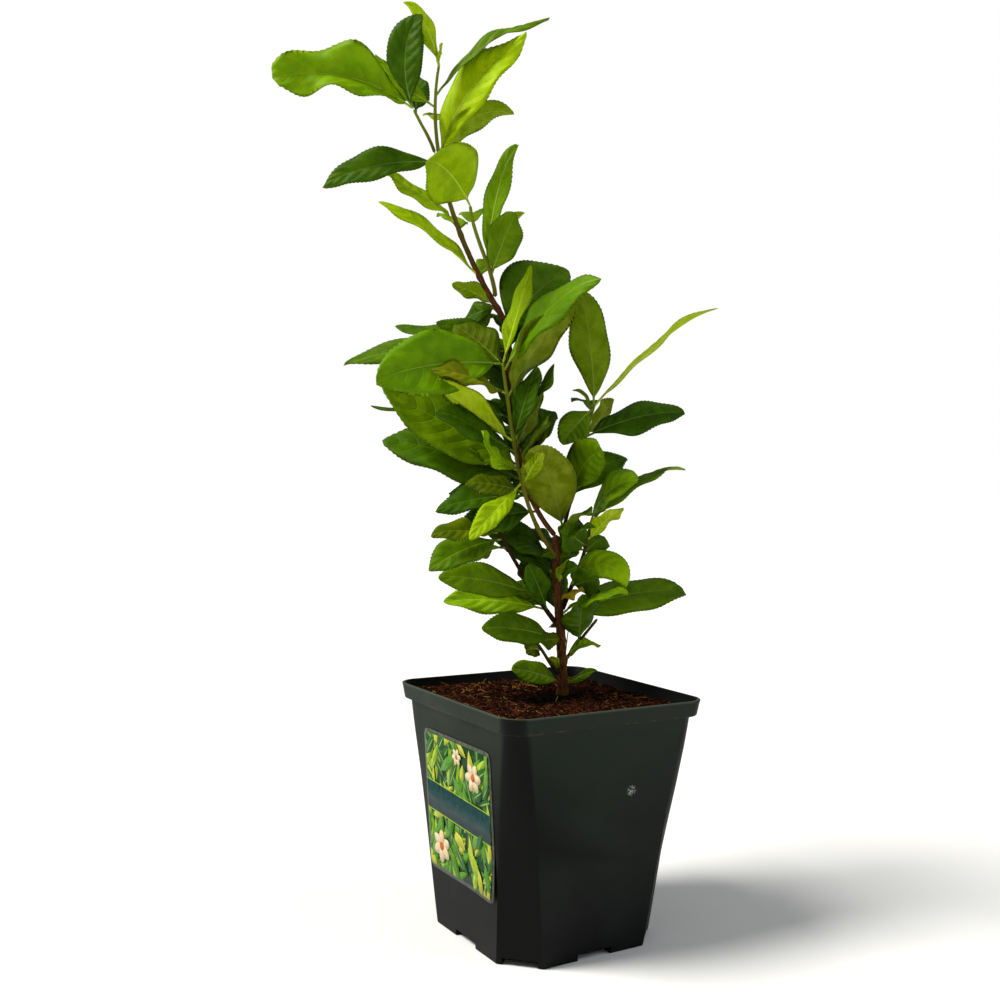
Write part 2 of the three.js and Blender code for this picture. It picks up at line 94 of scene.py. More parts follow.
VEIN_PAIRS = 8
VEIN_SWEEP = 1.5
VEIN_BEND = 1.4
LIMB_SEGMENTS = 16
LIMB_RING_STEP = 0.0016
LIMB_STOPS = 12
FLARE_FADE = 14
SCAR_WIDTH = 0.012
SCAR_SWELLING = 0.22
RIDGE_REACH = 0.002
RIDGES_PER_METRE = 260
RIDGE_HEIGHT = 0.09
BARK_PER_METRE = 20
FAR_SIDE = 59.0

Pair = tuple[float, float]
Triple = tuple[float, float, float]
Colour = tuple[float, float, float, float]
Socket = bpy.types.NodeSocket
Shape = bmesh.types.BMesh
Vert = bmesh.types.BMVert
Edge = bmesh.types.BMEdge
Inputs = dict[str | int, object]
Places = dict[Vert, tuple[int, int]]
Frame = tuple[Vector, Vector, Vector, Vector]


# ---------------------------------------------------------------- small helpers
def lerp(start: float, end: float, share: float) -> float:
    """The value `share` of the way from start to end."""
    return start + (end - start) * share


def held(value: float, low: float = 0.0, high: float = 1.0) -> float:
    """The value held between low and high."""
    return max(low, min(high, value))


def ease(low: float, high: float, value: float) -> float:
    """A smooth step from 0 at low to 1 at high."""
    share = held((value - low) / (high - low))
    return share * share * (3 - 2 * share)


def direction(heading: float, rise: float) -> Vector:
    """A unit vector.

    Args:
        heading: degrees in plan from +X towards +Y.
        rise: degrees above the horizontal.

    Returns:
        The direction as a vector.
    """
    turn, lift = math.radians(heading), math.radians(rise)
    return Vector((math.cos(lift) * math.cos(turn), math.cos(lift) * math.sin(turn), math.sin(lift)))


def tone(code: str) -> Colour:
    """Reads a screen colour.

    Args:
        code: its red, green and blue as hexadecimal digits, such as "5a8a00".

    Returns:
        Its linear red, green and blue, and 1.
    """
    parts = [int(code[i:i + 2], 16) / 255 for i in (0, 2, 4)]
    red, green, blue = (c / 12.92 if c <= 0.04045 else ((c + 0.055) / 1.055) ** 2.4 for c in parts)
    return (red, green, blue, 1.0)


def grid(shape: Shape, across: int, up: int, size: float = 0.5) -> list[Vert]:
    """The vertices of a new flat grid with that many cells each way. Size is half its side."""
    return bmesh.ops.create_grid(shape, x_segments=across, y_segments=up, size=size)["verts"]


def sphere(shape: Shape, around: int, along: int) -> Places:
    """Adds a unit sphere and says where each of its vertices stands.

    Args:
        shape: what it is added to.
        around: its segments round the axis.
        along: its rings from the +Z pole to the -Z pole.

    Returns:
        Each vertex's ring and segment number.
    """
    verts = bmesh.ops.create_uvsphere(shape, u_segments=around, v_segments=along, radius=1.0)["verts"]
    first = next(vert.co for vert in verts if abs(vert.co.z) < 0.9)
    start = math.atan2(first.y, first.x)
    places = {}
    for vert in verts:
        ring = round(math.acos(held(vert.co.z, -1.0)) / math.pi * along)
        segment = round((math.atan2(vert.co.y, vert.co.x) - start) / (2 * math.pi) * around) % around
        places[vert] = (ring, segment)
    return places


def extruded(shape: Shape, edges: list[Edge]) -> tuple[list[Vert], list[Edge]]:
    """Extrudes a loop of edges.

    Args:
        shape: what the edges belong to.
        edges: the loop.

    Returns:
        The new vertices and the new edges.
    """
    made = bmesh.ops.extrude_edge_only(shape, edges=edges)["geom"]
    new_verts = [item for item in made if isinstance(item, Vert)]
    return new_verts, [item for item in made if isinstance(item, Edge)]


def dye(verts: Iterable[Vert], finish: Enum) -> None:
    """Gives a finish to the faces round some vertices.

    Args:
        verts: the vertices.
        finish: one of a piece's finishes, whose materials are in the order of their names.
    """
    slot = list(type(finish)).index(finish)
    for face in {face for vert in verts for face in vert.link_faces}:
        face.material_index = slot


def as_mesh(name: str, shape: Shape) -> bpy.types.Mesh:
    """Turns a bmesh, which is freed, into a mesh.

    Args:
        name: the mesh's name.
        shape: the bmesh.

    Returns:
        The mesh.
    """
    data = bpy.data.meshes.new(name)
    shape.to_mesh(data)
    shape.free()
    return data


def placed(name: str, data: bpy.types.ID) -> bpy.types.Object:
    """Puts a new object in the scene.

    Args:
        name: the object's name.
        data: its mesh, camera or light.

    Returns:
        The object.
    """
    made = bpy.data.objects.new(name, data)
    bpy.context.scene.collection.objects.link(made)
    return made


def finished(name: str, shape: Shape, materials: list[bpy.types.Material], slot: str,
             nodes: tuple[str, ...] = (), sharp: float | None = None) -> bpy.types.Object:
    """Turns a finished bmesh into a piece that rides on the part's one body.

    Args:
        name: the piece's name.
        shape: its shape, in metres, which is freed.
        materials: its materials, in slot order.
        slot: the record's material slot; not used.
        nodes: the CAD nodes that it stands for.
        sharp: the angle in degrees past which an edge stays sharp, or None for smooth all over.

    Returns:
        The new object.
    """
    bmesh.ops.recalc_face_normals(shape, faces=shape.faces)
    data = as_mesh(name, shape)
    data.shade_smooth()
    if sharp is not None:
        data.set_sharp_from_angle(angle=math.radians(sharp))
    for material in materials:
        data.materials.append(material)
    piece = placed(name, data)
    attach(piece, "root")
    if nodes:
        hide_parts(*nodes)
    log.info("%s: %d faces", name, len(data.polygons))
    return piece


# ---------------------------------------------------------------- finishes
class Shader:
    """A Principled material and the nodes that feed it."""

    def __init__(self, name: str, roughness: float, specular: float = 0.5) -> None:
        """Starts a plain material.

        Args:
            name: the material's name.
            roughness: its roughness where nothing varies it.
            specular: its specular level.
        """
        self.material = bpy.data.materials.new(name)
        self.material.use_nodes = True
        self.tree = self.material.node_tree
        self.principled = self.tree.nodes["Principled BSDF"]
        self.principled.inputs["Roughness"].default_value = roughness
        self.principled.inputs["Specular IOR Level"].default_value = specular

    def node(self, kind: str, inputs: Inputs | None = None, **settings: object) -> bpy.types.Node:
        """Adds a node.

        Args:
            kind: its type without the "ShaderNode" in front.
            inputs: a value or a socket for each named or numbered input.
            settings: its own properties.

        Returns:
            The node.
        """
        made = self.tree.nodes.new("ShaderNode" + kind)
        for key, value in settings.items():
            setattr(made, key, value)
        for key, value in (inputs or {}).items():
            if isinstance(value, Socket):
                self.tree.links.new(value, made.inputs[key])
            else:
                made.inputs[key].default_value = value
        return made

    def feed(self, name: str, source: Socket) -> None:
        """Links a socket to one of the Principled shader's inputs."""
        self.tree.links.new(source, self.principled.inputs[name])

    def here(self) -> Socket:
        """The place on the piece, in metres."""
        return self.node("TexCoord").outputs["Object"]

    def part(self, vector: Socket, number: int) -> Socket:
        """One of a vector's three parts, from 0 to 2."""
        return self.node("SeparateXYZ", {0: vector}).outputs[number]

    def noise(self, vector: Socket, scale: float, detail: float = 2.0, rough: float = 0.5) -> Socket:
        """Soft noise from 0 to 1."""
        terms = {"Vector": vector, "Scale": scale, "Detail": detail, "Roughness": rough}
        return self.node("TexNoise", terms).outputs[0]

    def cells(self, vector: Socket, scale: float) -> Socket:
        """The distance from the middle of the nearest of a crowd of cells."""
        return self.node("TexVoronoi", {"Vector": vector, "Scale": scale}).outputs["Distance"]

    def attribute(self, name: str) -> Socket:
        """A number that the piece's vertices carry."""
        return self.node("Attribute", attribute_name=name).outputs["Fac"]

    def math(self, operation: str, *terms: Socket | float) -> Socket:
        """One sum of up to three numbers or sockets."""
        return self.node("Math", dict(enumerate(terms)), operation=operation).outputs[0]

    def vector_math(self, operation: str, first: Socket, second: object, output: str = "Value") -> Socket:
        """One sum of two vectors, of which the second may be a plain one."""
        return self.node("VectorMath", {0: first, 1: second}, operation=operation).outputs[output]

    def ranged(self, value: Socket, low: float, high: float,
               to_low: float = 0.0, to_high: float = 1.0) -> Socket:
        """A value carried from one range to another and held inside it."""
        limits = {"Value": value, "From Min": low, "From Max": high, "To Min": to_low, "To Max": to_high}
        return self.node("MapRange", limits).outputs[0]

    def mixed(self, share: Socket, first: Colour | Socket, second: Colour | Socket) -> Socket:
        """Two colours mixed by a share."""
        return self.node("Mix", {0: share, 6: first, 7: second}, data_type="RGBA").outputs[2]

    def bump(self, height: Socket, distance: float, strength: float = 1.0) -> None:
        """Raises the surface by a height from 0 to 1 times a distance in metres."""
        made = self.node("Bump", {"Height": height, "Distance": distance, "Strength": strength})
        self.feed("Normal", made.outputs[0])


@dataclass(frozen=True)
class LeafFinish:
    """The look of a leaf of one age: its two faces and its midrib."""

    name: str
    upper: str
    upper_light: str
    under: str
    rib: str
    veins: float = 0.4
    upper_roughness: float = 0.5
    under_roughness: float = 0.68
    specular: float = 0.06
    patch_scale: float = 90.0
    grain_scale: float = 500.0
    relief: float = 0.5 * MM
    darkest: float = 0.78
    brightest: float = 1.24

    def face(self, side: str, base: str, light: str, roughness: float) -> bpy.types.Material:
        """The material of one face of the blade.

        Args:
            side: "upper" or "under".
            base: the main colour.
            light: the colour of the paler patches and of the side veins.
            roughness: the mean roughness.

        Returns:
            The material.
        """
        shader = Shader(f"{self.name}_leaf_{side}", roughness, self.specular)
        spot = shader.node("UVMap", uv_map="blade").outputs[0]
        out = shader.math("ABSOLUTE", shader.math("MULTIPLY_ADD", shader.part(spot, 1), 2.0, -1.0))
        bent = shader.math("MULTIPLY", shader.math("POWER", out, VEIN_BEND), -VEIN_SWEEP)
        phase = shader.math("MULTIPLY_ADD", shader.part(spot, 0), float(VEIN_PAIRS), bent)
        from_vein = shader.math("PINGPONG", phase, 0.5)
        fading = shader.ranged(out, 0.3, 0.9, 1, 0)
        vein = shader.math("MULTIPLY", shader.ranged(from_vein, 0, 0.07, 1, 0), fading)
        here = shader.here()
        patches = shader.ranged(shader.noise(here, self.patch_scale, 3, 0.6), 0.38, 0.66)
        colour = shader.mixed(shader.math("MULTIPLY", patches, 0.7), tone(base), tone(light))
        colour = shader.mixed(shader.math("MULTIPLY", vein, self.veins), colour, tone(light))
        colour = shader.mixed(shader.ranged(out, 0.93, 1, 0, 0.6), colour, tone(light))
        shader.feed("Base Color", self.shaded(shader, colour))
        grain = shader.noise(here, self.grain_scale, 2, 0.6)
        shader.feed("Roughness", shader.ranged(grain, 0.3, 0.7, roughness - 0.06, roughness + 0.1))
        swell = shader.math("MULTIPLY", from_vein, shader.ranged(out, 0.7, 1, 2.4, 0))
        height = shader.math("MULTIPLY_ADD", vein, -0.5, shader.math("MULTIPLY_ADD", grain, 0.25, swell))
        shader.bump(height, self.relief, 0.8)
        return shader.material

    def shaded(self, shader: Shader, colour: Socket) -> Socket:
        """The colour made a little darker and greener or brighter and yellower from leaf to leaf.

        Args:
            shader: the material.
            colour: its colour before that.

        Returns:
            The colour after it.
        """
        shade = shader.attribute("shade")
        terms = {"Color": colour, "Value": shader.ranged(shade, 0, 1, self.darkest, self.brightest),
                 "Hue": shader.ranged(shade, 0, 1, 0.506, 0.494)}
        return shader.node("HueSaturation", terms).outputs[0]

    def midrib(self) -> bpy.types.Material:
        """Makes the finish of the pale, smooth strip along the middle of both faces, and of the petiole.

        Returns:
            The material.
        """
        shader = Shader(f"{self.name}_midrib", 0.45, 0.4)
        patches = shader.noise(shader.here(), 200)
        shader.feed("Base Color", shader.mixed(patches, tone(self.rib), tone(self.upper_light)))
        return shader.material

    def materials(self) -> list[bpy.types.Material]:
        """Makes the finish of a whole leaf.

        Returns:
            The materials of the upper face, the under face and the midrib.
        """
        return [
            self.face("upper", self.upper, self.upper_light, self.upper_roughness),
            self.face("under", self.under, self.rib, self.under_roughness),
            self.midrib(),
        ]


class Age(Enum):
    """The ages of leaf on the bush, each with its finish."""

    YOUNG = LeafFinish("young", "86a600", "a6c404", "90ac00", "b8c830", 0.25)
    FRESH = LeafFinish("fresh", "6a9200", "86aa00", "849e00", "a0b424", 0.3)
    MID = LeafFinish("mid", "4a6a00", "648400", "627c00", "7e961c")
    DARK = LeafFinish("dark", "325200", "4a6c00", "4c6400", "607a18")
    LUSH = LeafFinish("lush", "507800", "689000", "647e00", "94ac24")
    OLIVE = LeafFinish("olive", "445600", "5c6e00", "566600", "808e24")
    AMBER = LeafFinish("amber", "5e7400", "8a8608", "6c7400", "a8a030")
    TURNING = LeafFinish("turning", "8a7a08", "a89418", "8f7c14", "b8a840")


@dataclass(frozen=True)
class BarkFinish:
    """Thin ridged bark that turns from brown to green towards the young end of a limb."""

    name: str
    old: str
    pale: str
    young: str = "707c10"
    speck: str = "a88458"
    streak_stretch: Triple = (26, 9, 1)
    relief: float = 0.5 * MM

    def material(self) -> bpy.types.Material:
        """Makes the bark's finish: fine streaks, green where the limb is young and specked where it is old.

        Returns:
            The material.
        """
        shader = Shader(self.name, 0.62, 0.1)
        spot = shader.node("UVMap", uv_map="bark").outputs[0]
        drawn = shader.node("Mapping", {"Vector": spot, "Scale": self.streak_stretch}).outputs[0]
        streaks = shader.noise(drawn, 1.0, 4, 0.65)
        here = shader.here()
        brown = shader.mixed(shader.ranged(streaks, 0.38, 0.68), tone(self.old), tone(self.pale))
        youth = shader.attribute("youth")
        wander = shader.math("ADD", youth, shader.ranged(shader.noise(here, 160), 0, 1, -0.12, 0.12))
        colour = shader.mixed(shader.ranged(wander, 0.35, 0.95), brown, tone(self.young))
        dots = shader.ranged(shader.cells(here, 420), 0, 0.16, 0.55, 0)
        dots = shader.math("MULTIPLY", dots, shader.ranged(youth, 0, 0.6, 1, 0))
        shader.feed("Base Color", shader.mixed(dots, colour, tone(self.speck)))
        shader.feed("Roughness", shader.ranged(youth, 0.2, 0.9, 0.72, 0.48))
        shader.bump(streaks, self.relief, 0.8)
        return shader.material


class Bark(Enum):
    """The two barks on the bush: on its main limbs and shoots, and a darker copy as painted shade on the thin
    boughs and twigs inside it.
    """

    OPEN = BarkFinish("open_bark", "2c1507", "7a4a22")
    # A darker copy of the bark, as painted shade inside the bush.
    INNER = BarkFinish("inner_bark", "160b04", "462a12")


@dataclass(frozen=True)
class PotFinish:
    """Satin green-black nursery plastic with a moulded grain, scuffs and dust under the rim."""

    # foot is the colour of the painted shade at the bottom of the pot; rim is the plastic near the top.
    foot: str = "070709"
    rim: str = "182218"
    worn: str = "2a302c"
    dust: str = "4a3e30"
    scuff: str = "9a9c98"
    # The colour of the painted highlight along the rim's lip.
    lip: str = "4e5648"
    # The colour of the painted shade inside the pot and on its corners.
    inner: str = "020303"
    scuff_place: Triple = (0.0205, -0.0687, 0.107)
    painted_shade_heights: Pair = (0.02, 0.15)
    band_height: float = 0.1515
    lip_highlight_heights: Pair = (0.1606, 0.1618)
    grain_scale: float = 1400.0
    grain_height: float = 0.04 * MM

    def material(self) -> bpy.types.Material:
        """Makes the pot's finish: painted shade at its foot, corners and inside, with dust, a painted
        highlight along the lip and a scuff.

        Returns:
            The material.
        """
        shader = Shader("pot_plastic", 0.48, 0.1)
        here = shader.here()
        height = shader.part(here, 2)
        cloud = shader.noise(here, 22, 4, 0.6)
        # Painted shade: the plastic darkens from the rim colour at the top to the foot colour at the bottom.
        colour = shader.mixed(shader.ranged(height, *self.painted_shade_heights), tone(self.foot), tone(self.rim))
        colour = shader.mixed(shader.ranged(cloud, 0.45, 0.8, 0, 0.3), colour, tone(self.worn))
        colour = shader.mixed(self.grime(shader, here, height), colour, tone(self.dust))
        colour = shader.mixed(self.marks(shader, here), colour, tone(self.scuff))
        # Painted highlight: a thin light line along the rounded lip of the rim.
        colour = shader.mixed(shader.ranged(height, *self.lip_highlight_heights, 0, 0.55), colour, tone(self.lip))
        # Painted shade darkens the inside of the pot and its corners.
        shader.feed("Base Color", shader.mixed(self.painted_shade_share(shader, here), colour, tone(self.inner)))
        shader.feed("Roughness", shader.ranged(cloud, 0.3, 0.7, 0.44, 0.58))
        shader.bump(shader.noise(here, self.grain_scale, 2), self.grain_height, 0.5)
        return shader.material

    def grime(self, shader: Shader, here: Socket, height: Socket) -> Socket:
        """How much dust lies under the rim band.

        Args:
            shader: the material.
            here: the place on the pot.
            height: its height.

        Returns:
            A share from 0 to 0.7.
        """
        off_band = shader.math("ABSOLUTE", shader.math("SUBTRACT", height, self.band_height))
        patches = shader.ranged(shader.noise(here, 160, 3), 0.52, 0.66)
        grime = shader.math("MULTIPLY", shader.ranged(off_band, 0, 0.0014, 1, 0), patches)
        return shader.math("MULTIPLY", grime, 0.7)

    def marks(self, shader: Shader, here: Socket) -> Socket:
        """How white the scuff on the -Y wall is.

        Args:
            shader: the material.
            here: the place on the pot.

        Returns:
            A share from 0 to 1.
        """
        away = shader.vector_math("DISTANCE", here, self.scuff_place)
        scratches = shader.ranged(shader.noise(here, 700, 2), 0.47, 0.55)
        return shader.math("MULTIPLY", shader.ranged(away, 0.0015, 0.004, 1, 0), scratches)

    def painted_shade_share(self, shader: Shader, here: Socket) -> Socket:
        """How much painted shade darkens the plastic inside the pot and at its corners.

        Args:
            shader: the material.
            here: the place on the pot.

        Returns:
            A share from 0 to 0.92.
        """
        normal = shader.node("NewGeometry").outputs["Normal"]
        flat = shader.vector_math("MULTIPLY", here, (1, 1, 0), "Vector")
        outward = shader.vector_math("DOT_PRODUCT", flat, normal)
        across = shader.math("MULTIPLY", shader.part(normal, 0), shader.part(normal, 1))
        # Painted shade on the rounded corners between the two faces.
        corner = shader.ranged(shader.math("ABSOLUTE", across), 0.04, 0.25, 0, 0.92)
        return shader.math("MAXIMUM", shader.ranged(outward, -0.03, -0.01, 0.9, 0), corner)


@dataclass(frozen=True)
class CompostFinish:
    """Moist red-brown compost, with painted shade darkening its hollows."""

    name: str
    deep: str
    light: str
    roughness: float = 0.9
    shadow: str = "030201"
    shaded_hollow_heights: Pair = (0.15, 0.1534)
    relief: float = 0.6 * MM

    def material(self) -> bpy.types.Material:
        """Makes the compost's finish.

        Returns:
            The material.
        """
        shader = Shader(self.name, self.roughness, 0.04)
        here = shader.here()
        lumps = shader.ranged(shader.noise(here, 420, 5, 0.7), 0.35, 0.7)
        crumbs = shader.ranged(shader.cells(here, 520), 0.1, 0.7, 1, 0.3)
        colour = shader.mixed(shader.math("MULTIPLY", lumps, crumbs), tone(self.deep), tone(self.light))
        # Painted shade: the compost darkens towards the shadow colour where it lies low in the hollows.
        painted_hollow_shade = shader.ranged(shader.part(here, 2), *self.shaded_hollow_heights, 0.95, 0)
        shader.feed("Base Color", shader.mixed(painted_hollow_shade, colour, tone(self.shadow)))
        shader.bump(shader.noise(here, 1500, 4, 0.7), self.relief)
        return shader.material


@dataclass(frozen=True)
class PrintFinish:
    """One flat printed ink or film on the label, with a faint printed grain."""

    name: str
    ink: str
    second: str
    roughness: float = 0.42

    def material(self) -> bpy.types.Material:
        """Makes the ink's finish.

        Returns:
            The material.
        """
        shader = Shader(self.name, self.roughness, 0.12)
        here = shader.here()
        wash = shader.ranged(shader.noise(here, 260, 3, 0.6), 0.35, 0.65)
        shader.feed("Base Color", shader.mixed(wash, tone(self.ink), tone(self.second)))
        shader.bump(shader.noise(here, 60, 1), 0.1 * MM, 0.4)
        return shader.material


# ---------------------------------------------------------------- limbs
@dataclass(frozen=True)
class Limb:
    """One tapering limb along a smooth curve.

    Points and radii are in millimetres. leave and arrive are the [heading, rise] at its ends, youth says how
    green each end is, flare is what its root adds to the radius, and knots are the leaf scars' shares of the
    way along.
    """

    name: str
    foot: Triple
    tip: Triple
    leave: Pair
    arrive: Pair
    radius: Pair
    youth: Pair
    flare: float = 0.0
    knots: tuple[float, ...] = ()
    slot: str = "bark"
    bark: Bark = Bark.OPEN

    def place(self, share: float) -> Vector:
        """A point on the limb's middle.

        Args:
            share: how far along the curve it is, from 0 to 1.

        Returns:
            The point, in metres.
        """
        start, end = Vector(self.foot), Vector(self.tip)
        reach = (end - start).length / 3
        first = start + direction(*self.leave) * reach
        second = end - direction(*self.arrive) * reach
        rest = 1 - share
        return (start * rest ** 3 + first * 3 * rest * rest * share + second * 3 * rest * share ** 2
                + end * share ** 3) * MM

    def ahead(self, share: float) -> Vector:
        """The unit direction of growth at a share of the way along."""
        return (self.place(share + 0.01) - self.place(share - 0.01)).normalized()

    def girth(self, share: float) -> float:
        """The radius, with the root flare and the swellings at its leaf scars.

        Args:
            share: how far along the limb, from 0 to 1.

        Returns:
            The radius, in metres.
        """
        radius = lerp(*self.radius, share) + self.flare * math.exp(-share * FLARE_FADE)
        swell = sum(math.exp(-((share - knot) / SCAR_WIDTH) ** 2) for knot in self.knots)
        return radius * (1 + SCAR_SWELLING * min(swell, 1.0)) * MM

    def length(self) -> float:
        """Roughly the limb's length, in metres."""
        stops = [self.place(number / LIMB_STOPS) for number in range(LIMB_STOPS + 1)]
        return sum((after - before).length for before, after in pairwise(stops))

    def build(self, bark: bpy.types.Material) -> bpy.types.Object:
        """Makes the limb as one closed ridged tube with a rounded end.

        Args:
            bark: its material.

        Returns:
            The limb's piece.
        """
        length = self.length()
        along = max(16, round(length / LIMB_RING_STEP))
        shape = bmesh.new()
        youth_layer = shape.verts.layers.float.new("youth")
        bark_map = shape.loops.layers.uv.new("bark")
        places = sphere(shape, LIMB_SEGMENTS, along)
        for vert, (ring, segment) in places.items():
            share = ring / along
            vert.co = self.place(share) if ring in (0, along) else self.skin(share, segment / LIMB_SEGMENTS)
            vert[youth_layer] = lerp(*self.youth, share)
        for face in shape.faces:
            wraps = any(places[vert][1] > LIMB_SEGMENTS / 2 for vert in face.verts)
            for loop in face.loops:
                ring, segment = places[loop.vert]
                turn = segment / LIMB_SEGMENTS + (1.0 if wraps and segment == 0 else 0.0)
                loop[bark_map].uv = (turn, ring / along * length * BARK_PER_METRE)
        return finished(self.name, shape, [bark], self.slot, (self.name,))

    def skin(self, share: float, turn: float) -> Vector:
        """A point on the ridged bark.

        Args:
            share: how far along the limb, from 0 to 1.
            turn: how far round it, from 0 to 1.

        Returns:
            The point, in metres.
        """
        ahead = self.ahead(held(share, 0.01, 0.99))
        across = Vector((0, 1, 0)).cross(ahead).normalized()
        angle = 2 * math.pi * turn
        spoke = across * math.cos(angle) + ahead.cross(across) * math.sin(angle)
        centre = self.place(share)
        ridge = noise.fractal((centre + spoke * RIDGE_REACH) * RIDGES_PER_METRE, 0.8, 2.1, 3)
        return centre + spoke * self.girth(share) * (1 + RIDGE_HEIGHT * ridge)


# ---------------------------------------------------------------- leaves
@dataclass(frozen=True)
class Leaf:
    """One leaf: its place along its limb, the way it points, its size in millimetres, its bend and its age.

    In degrees, droop is how far its rise falls from base to tip, hook how far the last third falls on top of
    that, sweep how far its heading turns, roll how far it is turned about its midrib, twist what that gains
    from base to tip, and fold how far each half rises from the midrib. curl bends the margins down, wave is
    how strongly it waves, and blunt goes from a pointed tip at 0 to a round one at 1.
    """

    at: float
    heading: float
    rise: float
    length: float
    width: float
    droop: float
    roll: float
    age: Age
    fold: float = 12.0
    sweep: float = 0.0
    twist: float = 0.0
    hook: float = 0.0
    curl: float = 0.25
    wave: float = 1.0
    blunt: float = 0.4

    def rings(self) -> int:
        """How many rings the leaf's mesh has along it."""
        return 60 if self.length > 44 else 40 if self.length > 22 else 24

    def petiole(self) -> float:
        """The petiole's share of the leaf's length."""
        return min(6.0, 0.09 * self.length) / self.length

    def frames(self, root: Vector, along: int) -> Iterator[Frame]:
        """Follows the midrib from base to tip.

        Args:
            root: where the petiole starts, in metres.
            along: how many steps there are.

        Returns:
            Each place in turn, with the ways ahead, across and out of the upper face.
        """
        spot = root.copy()
        for ring in range(along + 1):
            share = ring / along
            heading = self.heading + self.sweep * (share - 0.5)
            rise = self.rise - self.droop * (share - 0.5) - self.hook * ease(0.7, 1.0, share)
            ahead = direction(heading, rise)
            turn = Quaternion(ahead, math.radians(self.roll + self.twist * (share - 0.5)))
            across = Vector((math.sin(math.radians(heading)), -math.cos(math.radians(heading)), 0))
            yield spot.copy(), ahead, turn @ across, turn @ across.cross(ahead)
            spot += ahead * self.length / along * MM


